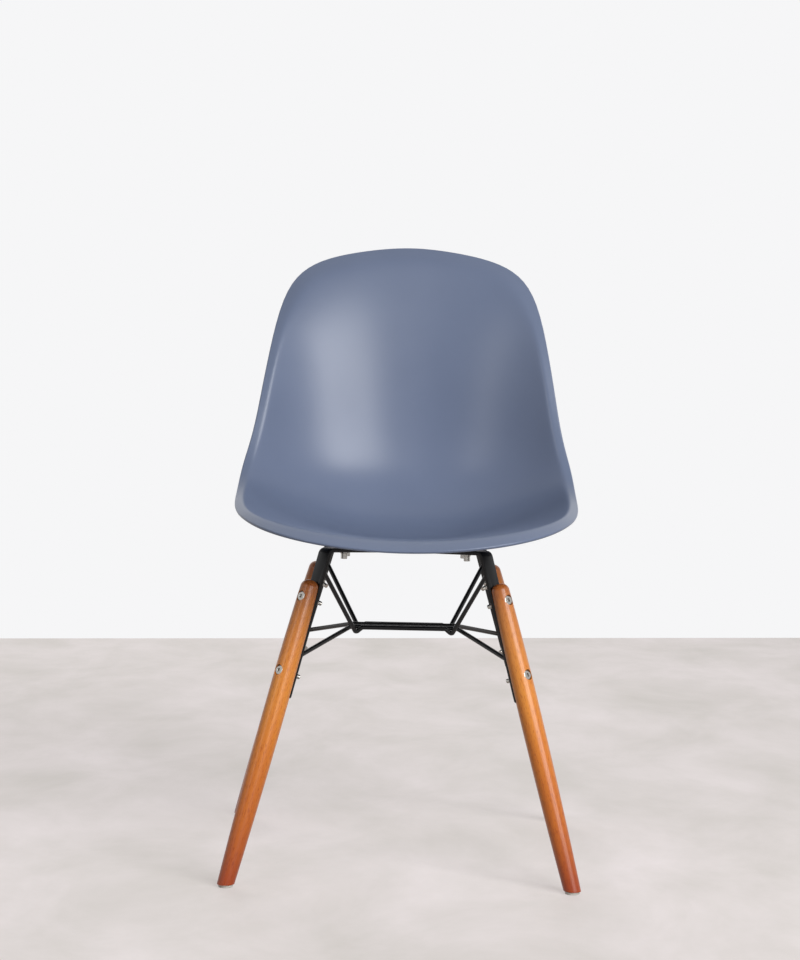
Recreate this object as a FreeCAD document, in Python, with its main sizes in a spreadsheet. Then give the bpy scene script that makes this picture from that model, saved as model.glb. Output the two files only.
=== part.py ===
import FreeCAD, Part
import math
import os
from FreeCAD import Vector, Placement, Rotation

# Moulded plastic shell chair: one shell on crossed steel bars, four turned legs bolted
# to the bars, and four bent rods that brace them. Millimetres, +Z up, -Y is the front,
# and the origin is on the floor in the middle of the chair's outline from above.

doc = FreeCAD.newDocument("shell_chair")

# Driving sizes: name, value, what it is
SIZES = [
    ("shell_wall", 4.5, "wall of the moulded shell"),
    ("base_y", -23.8, "crossing of the bars, along Y"),
    ("shell_front", -269.8, "front end of the shell's centre line, along Y"),
    ("seat_height", 28.9, "pads' tops at the crossing up to the front end of the centre line"),
    ("seat_slope", 5.5, "fall of the seat towards the back, degrees"),
    ("seat_run", 240.0, "straight part of the centre line"),
    ("bend_run", 320.0, "length of the curve from seat to back"),
    ("shell_length", 808.4, "whole centre line, lip to top edge"),
    ("back_slope", 80.0, "steepest slope of the back, degrees"),
    ("back_flare", 12.0, "how far the top of the back leans out again, degrees"),
    ("front_half", 197.3, "half width that governs the front edge before its corners round"),
    ("lip_half", 232.6, "half width that governs the seat behind the lip"),
    ("seat_half", 241.5, "half width that governs the seat"),
    ("widest", 244.2, "half width that governs the bend"),
    ("back_half", 209.4, "half width that governs the foot of the back"),
    ("waist_half", 174.2, "half width that governs the back"),
    ("top_half", 256.2, "half width that governs the top edge before its corners round"),
    ("front_dish", 27.0, "side rise that governs the front edge"),
    ("lip_dish", 37.9, "side rise that governs the seat behind the lip"),
    ("seat_dish", 38.5, "side rise that governs the seat"),
    ("bend_dish", 151.6, "side rise that governs the bend"),
    ("waist_dish", 115.8, "side rise that governs the foot of the back"),
    ("back_dish", 59.2, "side rise that governs the back"),
    ("top_dish", 15.2, "side rise that governs the top edge"),
    ("lip_band", 20.9, "width of the rolled front lip"),
    ("side_band", 12.0, "width of the rolled side rim"),
    ("top_band", 24.0, "width of the rolled top rim"),
    ("boss_diameter", 26.0, "moulded boss under the seat"),
    ("insert_diameter", 10.0, "threaded insert, outside"),
    ("insert_depth", 8.0, "threaded insert, length"),
    ("pad_diameter", 25.0, "rubber spacer pad"),
    ("pad_thick", 6.0, "rubber spacer pad, thickness"),
    ("mount_reach", 112.0, "seat bolts, distance from the centre"),
    ("mount_bolt", 6.0, "seat bolt, diameter"),
    ("mount_head", 8.5, "seat bolt head, diameter"),
    ("mount_head_high", 6.0, "seat bolt head, height"),
    ("mount_grip", 5.9, "seat bolt thread inside the insert"),
    ("washer_diameter", 12.0, "flat washer, outside"),
    ("washer_thick", 1.5, "flat washer, thickness"),
    ("spring_diameter", 9.5, "spring washer, outside"),
    ("spring_thick", 1.6, "spring washer, thickness"),
    ("bar_width", 20.0, "flat bar, width"),
    ("bar_thick", 5.0, "flat bar, thickness"),
    ("bar_angle", 43.94, "flat bars, angle from X seen from above, degrees"),
    ("bar_bend", 5.0, "flat bar, inner radius of its bends"),
    ("bar_corner", 3.0, "flat bar, rounding of its cut ends"),
    ("frame_height", 411.1, "floor to the bars' underside at their crossing"),
    ("frame_slope", 4.3, "fall of the bars towards the back, degrees"),
    ("front_reach", 165.4, "front bars, inner face at the upper screw, from the centre"),
    ("rear_reach", 164.0, "rear bars, inner face at the upper screw, from the centre"),
    ("front_lean", 19.8, "front legs, lean from upright, degrees"),
    ("rear_lean", 21.8, "rear legs, lean from upright, degrees"),
    ("screw_height", 55.1, "bars' underside down to the upper leg screws"),
    ("screw_pitch", 100.0, "upper to lower leg screw"),
    ("bar_tail", 31.0, "bar below the lower leg screw"),
    ("leg_flat", 7.8, "leg axis to the flat that takes the bar"),
    ("leg_top_radius", 12.2, "leg radius at the upper screw"),
    ("leg_belly_radius", 14.25, "leg radius at its thickest"),
    ("leg_foot_radius", 10.85, "leg radius near the floor"),
    ("leg_belly", 139.0, "upper screw down to the thickest point"),
    ("leg_head", 24.0, "upper screw up to the leg's top"),
    ("leg_dome", 10.0, "rounding of the leg's top edge"),
    ("glide_high", 4.0, "floor to the leg's end"),
    ("glide_diameter", 18.6, "glide, outside"),
    ("glide_pin", 5.0, "glide, pin in the leg"),
    ("glide_pin_long", 14.0, "glide, length of its pin"),
    ("screw_diameter", 6.0, "leg screw, shank"),
    ("screw_long", 34.0, "leg screw, under its head"),
    ("screw_head", 13.0, "leg screw, head"),
    ("screw_head_high", 3.0, "leg screw, head height"),
    ("screw_sink", 5.0, "seat of the head below the leg's surface"),
    ("sink_diameter", 14.0, "counterbore for the head"),
    ("nut_flats", 10.0, "leg nut, across its flats"),
    ("nut_high", 5.0, "leg nut, height"),
    ("socket_flats", 4.0, "hexagon socket of the screws"),
    ("socket_deep", 2.0, "depth of that socket"),
    ("rod_diameter", 6.0, "brace rods"),
    ("rod_bend", 8.0, "lower rods, bend radius at the crossbar"),
    ("rod_tight", 3.4, "upper rods, bend radius at the hook"),
    ("rod_high_front", 14.1, "bars' underside down to the upper front rod's ends"),
    ("rod_high_rear", 25.6, "bars' underside down to the upper rear rod's ends"),
    ("rod_low", 127.1, "bars' underside down to the lower rods' ends"),
    ("cross_height", 100.9, "bars' underside down to the rods' crossbars"),
    ("cross_outer", 21.0, "upper rods' crossbars, from the crossing along Y"),
    ("cross_half", 71.8, "lower rods' crossbars, half length"),
    ("hook_front", 64.5, "hook of the upper front rod, from the centre along X"),
    ("hook_rear", 61.0, "hook of the upper rear rod, from the centre along X"),
    ("hook_drop", 7.0, "hook of the upper rods, below their crossbars"),
    ("hook_run", 8.5, "hook of the upper rods, length along X"),
    ("hook_out", 1.0, "hook of the upper rods, out from their crossbars"),
    ("slip", 0.3, "clearance where rods pass and bolts go through"),
    ("thread_slip", 0.05, "clearance between thread and nut or insert"),
]
sheet = doc.addObject("Spreadsheet::Sheet", "sizes")
for row, (alias, value, meaning) in enumerate(SIZES, start=1):
    sheet.set("A%d" % row, meaning)
    sheet.set("B%d" % row, str(value))
    sheet.setAlias("B%d" % row, alias)
doc.recompute()


def size(name):
    """Value of one driving size."""
    return float(getattr(sheet, name))


sub_parts = []


def keep(item, label):
    """Name a finished sub-part, which is written to parts/ under that name."""
    item.Label = label
    sub_parts.append(item)
    return item


def bind(item, **rules):
    """Tie an object's sizes to cells of the sheet."""
    for name, rule in rules.items():
        item.setExpression(name, rule)
    return item


def group(label, items):
    """Several separate solids of one kind in one sub-part."""
    holder = doc.addObject("Part::Compound", label)
    holder.Links = items
    return keep(holder, label)


# Corners of the base: each leg, bar and screw is placed from one of these

AZIMUTH = math.radians(size("bar_angle"))
UP = Vector(0, 0, 1)
CORNERS = {
    "front_left": (-1, -1),
    "front_right": (1, -1),
    "rear_left": (-1, 1),
    "rear_right": (1, 1),
}


def below_bars(name):
    """Height above the floor of what lies a named distance below the bars' crossing."""
    return size("frame_height") - size(name)


def outward(corner):
    """Level direction from the centre to a corner."""
    side, end = CORNERS[corner]
    return Vector(side * math.cos(AZIMUTH), end * math.sin(AZIMUTH), 0)


def at(corner, radius, height):
    """Point above the floor at a distance from the crossing towards a corner."""
    return Vector(0, size("base_y"), height) + outward(corner) * radius


def is_front(corner):
    return CORNERS[corner][1] < 0


def lean(corner):
    return math.radians(size("front_lean") if is_front(corner) else size("rear_lean"))


def reach(corner):
    return size("front_reach") if is_front(corner) else size("rear_reach")


def bar_rise(corner):
    """Rise of a bar's top run per millimetre outwards: up to the front, down to the rear."""
    rise = math.sin(AZIMUTH) * math.tan(math.radians(size("frame_slope")))
    return rise if is_front(corner) else -rise


def frame_at(origin, normal, along):
    """Placement with its X on normal and its Z on along."""
    across = along.cross(normal)
    return Placement(origin, Rotation(normal, across, along, "ZXY"))


def leg_frame(corner, out=0.0, down=0.0):
    """Frame on the bar's inner face: X outwards, Z up along the leg, origin at the upper screw."""
    angle = lean(corner)
    normal = outward(corner) * math.cos(angle) + UP * math.sin(angle)
    along = UP * math.cos(angle) - outward(corner) * math.sin(angle)
    origin = at(corner, reach(corner), below_bars("screw_height"))
    return frame_at(origin + normal * out - along * down, normal, along)


def mount_frame(corner, up=0.0):
    """Frame on the bar's underside at a seat bolt: Z up, square to the bar."""
    rise = bar_rise(corner)
    run = outward(corner) + UP * rise
    normal = UP - outward(corner) * rise
    run.normalize()
    normal.normalize()
    base = at(corner, size("mount_reach"), size("frame_height") + rise * size("mount_reach"))
    return frame_at(base + normal * up, run, normal)


def rounded_path(points, radii, closed=False):
    """Edges through points, with a tangent arc of the given radius at each inner corner."""
    count = len(points)
    starts = []
    ends = []
    edges = []
    for i, point in enumerate(points):
        if radii[i] == 0:
            starts.append(point)
            ends.append(point)
            continue
        before = points[i - 1] - point
        after = points[(i + 1) % count] - point
        half = before.getAngle(after) / 2
        before.normalize()
        after.normalize()
        step = radii[i] / math.tan(half)
        middle = before + after
        middle.normalize()
        centre = point + middle * (radii[i] / math.sin(half))
        starts.append(point + before * step)
        ends.append(point + after * step)
        top = centre - middle * radii[i]
        edges.append((i, Part.Arc(starts[i], top, ends[i]).toShape()))
    arcs = dict(edges)
    chain = []
    for i in range(count):
        if i in arcs:
            chain.append(arcs[i])
        if i + 1 < count or closed:
            chain.append(Part.LineSegment(ends[i], starts[(i + 1) % count]).toShape())
    return Part.Wire(chain)


# Seat shell: a flat blank bent along a centre line, with raised sides and a rolled rim

BLANK_MIDDLE = 0.36      # where the blank's rays start, as a share of its length
FRONT_SQUARE = 3.2       # how square the front corners are
TOP_SQUARE = 4.8         # how square the top corners are
SQUARE_FADE = 0.6        # how far round the edge one changes into the other
TOP_ARCH = 0.09          # how much the top edge falls towards its corners
ARCH_SOFT = 0.25         # how gently that fall begins at the middle
DISH_FRONT = 2.0         # power of the side rise at the front
DISH_BACK = 2.42         # power of the side rise at the top
BAND_FALL = (0.73, 0.90, 0.45)   # slope of the rolled rim: lip, sides, top
BAND_SOFT = (0.38, 0.25, 0.42)   # how gently the roll begins, as a share of its width
LIP_FADE = (0.46, 0.57)  # the sides' rim turns into the lip from here, over this length
TOP_FADE = (0.72, 0.26)  # and into the top's rim, both along the edge from its middle


def smooth(x):
    x = min(max(x, 0.0), 1.0)
    return x * x * (3 - 2 * x)


def between(values, t):
    """Smooth curve led by a few values, from the first at t=0 to the last at t=1."""
    last = len(values) - 1
    return sum(
        math.comb(last, i) * t ** i * (1 - t) ** (last - i) * value
        for i, value in enumerate(values)
    )


def slope_at(s):
    """Slope of the centre line at a distance s from the front edge, radians."""
    turn = size("back_slope") + size("seat_slope")
    flat_end = size("seat_run")
    bend_end = flat_end + size("bend_run")
    angle = -size("seat_slope") + turn * smooth((s - flat_end) / size("bend_run"))
    angle -= size("back_flare") * smooth((s - bend_end) / (size("shell_length") - bend_end))
    return math.radians(angle)


LINE_START = -10         # the centre line is walked from here, and as far past its end
line_points = []


def lay_centre_line():
    """Walk the centre line in steps of one millimetre, from just before the front edge."""
    y = size("shell_front")
    z = size("frame_height") + size("bar_thick") + size("pad_thick") + size("seat_height")
    for s in range(0, LINE_START, -1):
        y -= math.cos(slope_at(s - 0.5))
        z -= math.sin(slope_at(s - 0.5))
    for s in range(LINE_START, int(size("shell_length")) - LINE_START):
        line_points.append((y, z))
        y += math.cos(slope_at(s + 0.5))
        z += math.sin(slope_at(s + 0.5))


def centre_at(s):
    whole = int(math.floor(s - LINE_START))
    share = s - LINE_START - whole
    (y0, z0), (y1, z1) = line_points[whole], line_points[whole + 1]
    return y0 + (y1 - y0) * share, z0 + (z1 - z0) * share


def half_width(t):
    names = ("front_half", "lip_half", "seat_half", "widest", "back_half", "waist_half", "top_half")
    return between([size(name) for name in names], t)


def side_rise(t):
    names = (
        "front_dish", "lip_dish", "seat_dish", "bend_dish", "waist_dish", "back_dish", "top_dish")
    return between([size(name) for name in names], t)


def bent(x, s, drop=0.0):
    """Point of the sitting face over the blank's point (x, s), let down by drop."""
    t = s / size("shell_length")
    y, z = centre_at(s)
    angle = slope_at(s)
    power = DISH_FRONT + (DISH_BACK - DISH_FRONT) * t
    lift = side_rise(t) * (abs(x) / half_width(t)) ** power - drop
    return Vector(x, y - lift * math.sin(angle), z + lift * math.cos(angle))


def blank_point(r, angle):
    """Point (x, s) of the blank on a ray, r from 0 at its middle to 1 at its edge, and its ray."""
    across = math.cos(angle)
    along = math.sin(angle)
    square = FRONT_SQUARE + (TOP_SQUARE - FRONT_SQUARE) * smooth((along / SQUARE_FADE + 1) / 2)
    stretch = (abs(across) ** square + abs(along) ** square) ** (-1 / square)
    stretch = 1 + (stretch - 1) * r * r
    length = size("shell_length")
    middle = BLANK_MIDDLE * length
    p = across * stretch * r
    q = along * stretch * r
    if q > 0:
        q *= 1 - TOP_ARCH * (math.hypot(p, ARCH_SOFT) - ARCH_SOFT)
    s = middle + length / 2 * q + (length / 2 - middle) * q * q
    x = p * half_width(s / length)
    return x, s, q


def edge_gauge(angle):
    """Distance from the blank's edge for one unit of r, measured square to the edge."""
    step = 0.02
    turn = 0.001
    x1, s1, q = blank_point(1, angle)
    x0, s0, q0 = blank_point(1 - step, angle)
    xa, sa, qa = blank_point(1, angle - turn)
    xb, sb, qb = blank_point(1, angle + turn)
    length = math.hypot(xb - xa, sb - sa)
    return abs((x1 - x0) * (sb - sa) - (s1 - s0) * (xb - xa)) / length / step, q


def band_values(q):
    """Width, fall and softness of the rolled rim at the edge point q."""
    front = smooth((-q - LIP_FADE[0]) / LIP_FADE[1])
    top = smooth((q - TOP_FADE[0]) / TOP_FADE[1])
    sides = 1 - front - top
    widths = (size("lip_band"), size("side_band"), size("top_band"))
    softs = [share * width for share, width in zip(BAND_SOFT, widths)]
    return [v[0] * front + v[1] * sides + v[2] * top for v in (widths, BAND_FALL, softs)]


def shell_point(a, b):
    """Point of the sitting face over the unit disc point (a, b)."""
    r = math.hypot(a, b)
    angle = math.atan2(b, a)
    x, s, q = blank_point(r, angle)
    gauge, edge_q = edge_gauge(angle)
    width, fall, soft = band_values(edge_q)
    past = width - (1 - r) * gauge
    return bent(x, s, fall * (past + math.hypot(past, soft)) / 2)


def shell_layer(a, b, depth):
    """Point at a depth inside the wall, square to the sitting face."""
    step = 0.001
    inner = 1 - 2 * step
    r = math.hypot(a, b)
    if r > inner:
        a0, b0 = a * inner / r, b * inner / r
    else:
        a0, b0 = a, b
    du = shell_point(a0 + step, b0) - shell_point(a0 - step, b0)
    dv = shell_point(a0, b0 + step) - shell_point(a0, b0 - step)
    normal = du.cross(dv)
    normal.normalize()
    return shell_point(a, b) - normal * depth


def layer_grid(depth, across=36, along=48):
    """Points of one face of the wall, closer together near the rim."""
    rows = []
    for i in range(across + 1):
        u = math.sin(math.pi / 2 * (2 * i / across - 1))
        row = []
        for j in range(along + 1):
            v = math.sin(math.pi / 2 * (2 * j / along - 1))
            a = u * math.sqrt(1 - v * v / 2)
            b = v * math.sqrt(1 - u * u / 2)
            row.append(shell_layer(a, b, depth))
        rows.append(row)
    return rows


def face_through(rows):
    surface = Part.BSplineSurface()
    surface.interpolate(rows)
    return surface.toShape()


def wall_solid():
    """The wall: sitting face, underside, and the rim that joins them."""
    upper = face_through(layer_grid(0.0))
    lower = face_through(layer_grid(size("shell_wall")))
    faces = [upper, lower]
    for edge_above, edge_below in zip(upper.OuterWire.Edges, lower.OuterWire.Edges):
        faces.append(Part.makeRuledSurface(edge_above, edge_below))
    joined = Part.makeCompound(faces)
    joined.sewShape(0.01)
    solid = Part.makeSolid(joined.Shells[0])
    if solid.Volume < 0:
        solid.reverse()
    return solid


BOSS_BLANK = 80.0        # a boss before the wall trims it, longer than any of them
BOSS_CELL = 0.6          # spacing of the points on the wall above it, in boss radii


def boss_solid(corner):
    """A moulded boss from the pad up into the middle of the wall."""
    base = mount_frame(corner, size("bar_thick") + size("pad_thick"))
    centre = base.Base
    radius = size("boss_diameter") / 2
    s_mid = min(
        range(20, int(size("seat_run") + size("bend_run"))),
        key=lambda s: abs(centre_at(s)[0] - centre.y),
    )
    rows = []
    for i in range(-3, 4):
        row = []
        for j in range(-3, 4):
            x = centre.x + i * radius * BOSS_CELL
            s = s_mid + j * radius * BOSS_CELL
            dx = bent(x + 0.5, s) - bent(x - 0.5, s)
            ds = bent(x, s + 0.5) - bent(x, s - 0.5)
            normal = dx.cross(ds)
            normal.normalize()
            row.append(bent(x, s) - normal * size("shell_wall") / 2)
        rows.append(row)
    axis = base.Rotation.multVec(UP)
    under_wall = face_through(rows).extrude(axis * -BOSS_BLANK)
    post = Part.makeCylinder(radius, BOSS_BLANK, centre, axis)
    return post.common(under_wall)


def insert_hole(corner):
    base = mount_frame(corner, size("bar_thick") + size("pad_thick"))
    axis = base.Rotation.multVec(UP)
    return Part.makeCylinder(size("insert_diameter") / 2, size("insert_depth"), base.Base, axis)


lay_centre_line()
shell_shape = wall_solid()
for corner in CORNERS:
    shell_shape = shell_shape.fuse(boss_solid(corner))
for corner in CORNERS:
    shell_shape = shell_shape.cut(insert_hole(corner))
seat_shell = doc.addObject("Part::Feature", "seat_shell")
seat_shell.Shape = shell_shape
keep(seat_shell, "seat_shell")


# Seat fixings at the four corners, from the insert in the boss down to the bolt head

def ring(name, place, outside, inside, thick):
    """A washer, pad or sleeve with its axis on Z."""
    body = doc.addObject("Part::Cylinder", name + "_body")
    hole = doc.addObject("Part::Cylinder", name + "_hole")
    bind(body, Radius=outside, Height=thick)
    bind(hole, Radius=inside, Height=thick)
    part = doc.addObject("Part::Cut", name)
    part.Base = body
    part.Tool = hole
    part.Placement = place
    return part


def socket_screw(name, place, head, head_high, shank, long):
    """A screw that points up Z, its head below the origin, with a hexagon socket."""
    top = doc.addObject("Part::Cylinder", name + "_head")
    stem = doc.addObject("Part::Cylinder", name + "_shank")
    socket = doc.addObject("Part::Prism", name + "_socket")
    bind(top, Radius=head, Height=head_high)
    bind(top, **{"Placement.Base.z": "-(%s)" % head_high})
    bind(stem, Radius=shank, Height=long)
    socket.Polygon = 6
    bind(socket, Circumradius="sizes.socket_flats / sqrt(3)", Height="sizes.socket_deep")
    bind(socket, **{"Placement.Base.z": "-(%s)" % head_high})
    whole = doc.addObject("Part::Fuse", name + "_whole")
    whole.Base = top
    whole.Tool = stem
    part = doc.addObject("Part::Cut", name)
    part.Base = whole
    part.Tool = socket
    part.Placement = place
    return part


inserts = []
pads = []
washers = []
springs = []
mount_bolts = []
for corner in CORNERS:
    boss_level = size("bar_thick") + size("pad_thick")
    washer_level = -size("washer_thick")
    spring_level = washer_level - size("spring_thick")
    thread = "sizes.mount_bolt / 2 + sizes.thread_slip"
    loose = "sizes.mount_bolt / 2 + sizes.slip"
    inserts.append(ring(
        "insert_" + corner, mount_frame(corner, boss_level),
        "sizes.insert_diameter / 2", thread, "sizes.insert_depth"))
    pads.append(ring(
        "pad_" + corner, mount_frame(corner, size("bar_thick")),
        "sizes.pad_diameter / 2", loose, "sizes.pad_thick"))
    washers.append(ring(
        "washer_" + corner, mount_frame(corner, washer_level),
        "sizes.washer_diameter / 2", loose, "sizes.washer_thick"))
    springs.append(ring(
        "spring_" + corner, mount_frame(corner, spring_level),
        "sizes.spring_diameter / 2", loose, "sizes.spring_thick"))
    mount_bolts.append(socket_screw(
        "mount_bolt_" + corner, mount_frame(corner, spring_level),
        "sizes.mount_head / 2", "sizes.mount_head_high", "sizes.mount_bolt / 2",
        "sizes.spring_thick + sizes.washer_thick + sizes.bar_thick + sizes.pad_thick"
        " + sizes.mount_grip"))
group("threaded_inserts", inserts)
group("spacer_pads", pads)
group("flat_washers", washers)
group("spring_washers", springs)
group("seat_bolts", mount_bolts)


# Flat steel bars: each runs from a leg up to the seat and across towards the crossing

def bar_corners(corner):
    """Inner and outer corner of the bend, and the two corners of the lower end."""
    angle = lean(corner)
    rise = bar_rise(corner)
    height = -size("screw_height")
    inner = (reach(corner) + math.tan(angle) * height) / (1 + rise * math.tan(angle))
    lift = size("bar_thick") * math.hypot(1, rise)
    shift = size("bar_thick") / math.cos(angle)
    outer = (reach(corner) + shift + math.tan(angle) * (height - lift)) / (1 + rise * math.tan(angle))
    inner_corner = at(corner, inner, size("frame_height") + rise * inner)
    outer_corner = at(corner, outer, size("frame_height") + lift + rise * outer)
    drop = size("screw_pitch") + size("bar_tail")
    end_inner = leg_frame(corner, 0, drop).Base
    end_outer = leg_frame(corner, size("bar_thick"), drop).Base
    return inner_corner, outer_corner, end_inner, end_outer


def bar_outline(front, rear):
    """Side outline of a bar from one corner to the opposite one, or to the crossing."""
    bend = size("bar_bend")
    wide = bend + size("bar_thick")
    in_a, out_a, end_in_a, end_out_a = bar_corners(front)
    if rear:
        in_b, out_b, end_in_b, end_out_b = bar_corners(rear)
        points = [end_in_a, in_a, in_b, end_in_b, end_out_b, out_b, out_a, end_out_a]
        return rounded_path(points, [0, bend, bend, 0, 0, wide, wide, 0], closed=True)
    butt = size("bar_width") / 2
    low = size("frame_height") + bar_rise(front) * butt
    lift = size("bar_thick") * math.hypot(1, bar_rise(front))
    low_end = at(front, butt, low)
    high_end = at(front, butt, low + lift)
    points = [end_in_a, in_a, low_end, high_end, out_a, end_out_a]
    return rounded_path(points, [0, bend, 0, 0, wide, 0], closed=True)


OVERRUN = 1.0            # how far a drill starts before a face and ends past it


def bar_solid(front, rear=None):
    across = outward(front).cross(UP)
    outline = bar_outline(front, rear)
    solid = Part.Face(outline).extrude(across * size("bar_width"))
    solid.translate(across * (-size("bar_width") / 2))
    ends = [front] + ([rear] if rear else [])
    cut_edges = []
    for corner in ends:
        end_inner = bar_corners(corner)[2]
        for edge in solid.Edges:
            straight = abs(edge.Length - size("bar_thick")) < 0.01
            near = (edge.CenterOfMass - end_inner).Length < size("bar_width")
            if straight and near:
                cut_edges.append(edge)
    solid = solid.makeFillet(size("bar_corner"), cut_edges)
    hole = size("screw_diameter") / 2 + size("slip")
    through = size("bar_thick") + 2 * OVERRUN
    for corner in ends:
        for down in (0, size("screw_pitch")):
            place = leg_frame(corner, -OVERRUN, down)
            axis = place.Rotation.multVec(Vector(1, 0, 0))
            solid = solid.cut(Part.makeCylinder(hole, through, place.Base, axis))
        place = mount_frame(corner, -OVERRUN)
        axis = place.Rotation.multVec(UP)
        wide = size("mount_bolt") / 2 + size("slip")
        solid = solid.cut(Part.makeCylinder(wide, through, place.Base, axis))
    return solid


BARS = {
    "long_bar": ("front_left", "rear_right"),
    "short_bar_front": ("front_right", None),
    "short_bar_rear": ("rear_left", None),
}
for label, (front, rear) in BARS.items():
    bar = doc.addObject("Part::Feature", label)
    bar.Shape = bar_solid(front, rear)
    keep(bar, label)


# Brace rods: four bent rods, two at each end, welded to the bars' inner faces

ROD_PAST = 4.0           # how far a rod runs past the bar's face before it is trimmed
TRIM_DEEP = 60.0         # block behind the bar's face that trims the rods' ends


def bar_face_point(corner, height, past):
    """Point a little way past the middle of a bar's inner face, at a height."""
    radius = reach(corner) + math.tan(lean(corner)) * (below_bars("screw_height") - height)
    return at(corner, radius + past, height)


def beyond_face(corner):
    """The space behind a bar's inner face, which trims the rods' ends."""
    tall = size("frame_height")
    box = Part.makeBox(TRIM_DEEP, TRIM_DEEP * 2, tall, Vector(0, -TRIM_DEEP, -tall / 2))
    box.Placement = leg_frame(corner)
    return box


def rod_solid(points, radii, corners):
    path = rounded_path(points, radii)
    start = points[0]
    heading = points[1] - points[0]
    circle = Part.Wire(Part.Circle(start, heading, size("rod_diameter") / 2).toShape())
    solid = path.makePipeShell([circle], True, False)
    for corner in corners:
        solid = solid.cut(beyond_face(corner))
    return solid


def lower_rod(end):
    """Straight from one bar to the inner crossbar, across, and out to the other bar."""
    left, right = end + "_left", end + "_right"
    sign = CORNERS[left][1]
    y = size("base_y") + sign * (size("cross_outer") - size("rod_diameter") - size("slip"))
    half = size("cross_half")
    z = below_bars("cross_height")
    points = [
        bar_face_point(left, below_bars("rod_low"), ROD_PAST),
        Vector(-half, y, z),
        Vector(half, y, z),
        bar_face_point(right, below_bars("rod_low"), ROD_PAST),
    ]
    bend = size("rod_bend")
    return rod_solid(points, [0, bend, bend, 0], (left, right))


def upper_rod(end):
    """Down from one bar to a sharp hook, up into the outer crossbar, and the same again."""
    left, right = end + "_left", end + "_right"
    sign = CORNERS[left][1]
    y = size("base_y") + sign * size("cross_outer")
    z = below_bars("cross_height")
    hook = size("hook_" + end)
    run = size("hook_run")
    drop = size("hook_drop")
    height = below_bars("rod_high_" + end)
    hook_y = y + sign * size("hook_out")
    points = [
        bar_face_point(left, height, ROD_PAST),
        Vector(-hook, hook_y, z - drop),
        Vector(run - hook, y, z),
        Vector(hook - run, y, z),
        Vector(hook, hook_y, z - drop),
        bar_face_point(right, height, ROD_PAST),
    ]
    tight = size("rod_tight")
    return rod_solid(points, [0, tight, tight, tight, tight, 0], (left, right))


for end in ("front", "rear"):
    for level, maker in (("lower", lower_rod), ("upper", upper_rod)):
        label = "%s_%s_rod" % (end, level)
        rod = doc.addObject("Part::Feature", label)
        rod.Shape = maker(end)
        keep(rod, label)


# Legs: turned dowels with a flat for the bar, two sunk screw holes and a level foot

def origin_plane(body, role):
    return next(f for f in body.Origin.OriginFeatures if f.Role == role)


def leg_foot_drop(corner):
    """Distance along the leg's axis from the upper screw down to the leg's level end."""
    angle = lean(corner)
    out = size("bar_thick") + size("leg_flat")
    axis_height = below_bars("screw_height") + out * math.sin(angle)
    return (axis_height - size("glide_high")) / math.cos(angle)


def leg_sketch(body, drop):
    """Half of the leg's outline: two long arcs that meet at the belly, and a rounded top."""
    top = size("leg_head")
    dome = size("leg_dome")
    belly_z = -size("leg_belly")
    belly = size("leg_belly_radius")
    low = -drop - size("leg_belly_radius")

    def arc_radius(span, fall):
        return (span * span + fall * fall) / (2 * fall)

    upper = arc_radius(size("leg_belly"), belly - size("leg_top_radius"))
    lower = arc_radius(drop - size("leg_belly"), belly - size("leg_foot_radius"))

    def arc_point(radius, z):
        return Vector(belly - radius + math.sqrt(radius ** 2 - (z - belly_z) ** 2), z, 0)

    shoulder = arc_point(upper, top - dome)
    foot = arc_point(lower, low)
    waist = Vector(belly, belly_z, 0)
    middle_up = arc_point(upper, (top - dome + belly_z) / 2)
    middle_low = arc_point(lower, (low + belly_z) / 2)
    crown = Vector(shoulder.x - dome, top, 0)
    round_mid = Vector(
        crown.x + dome * math.cos(math.pi / 4), top - dome + dome * math.sin(math.pi / 4), 0)
    sketch = body.newObject("Sketcher::SketchObject", body.Name + "_outline")
    sketch.AttachmentSupport = [(origin_plane(body, "XZ_Plane"), "")]
    sketch.MapMode = "FlatFace"
    sketch.addGeometry([
        Part.LineSegment(Vector(0, low, 0), foot),
        Part.Arc(foot, middle_low, waist),
        Part.Arc(waist, middle_up, shoulder),
        Part.Arc(shoulder, round_mid, crown),
        Part.LineSegment(crown, Vector(0, top, 0)),
        Part.LineSegment(Vector(0, top, 0), Vector(0, low, 0)),
    ], False)
    return sketch


def carve(body, kind, name, place, **rules):
    """Take a box or cylinder away from a body."""
    tool = body.newObject("PartDesign::Subtractive" + kind, body.Name + "_" + name)
    tool.Placement = place
    bind(tool, **rules)
    return tool


def surface_radius(down):
    """Leg radius at a distance below the upper screw, above the belly."""
    belly = size("leg_belly_radius")
    fall = belly - size("leg_top_radius")
    span = size("leg_belly")
    radius = (span * span + fall * fall) / (2 * fall)
    return belly - radius + math.sqrt(radius ** 2 - (span - down) ** 2)


ALONG_X = Rotation(Vector(0, 1, 0), 90)
CUTTER = 60.0            # blocks and drills that trim a leg, wider than any leg


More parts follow.
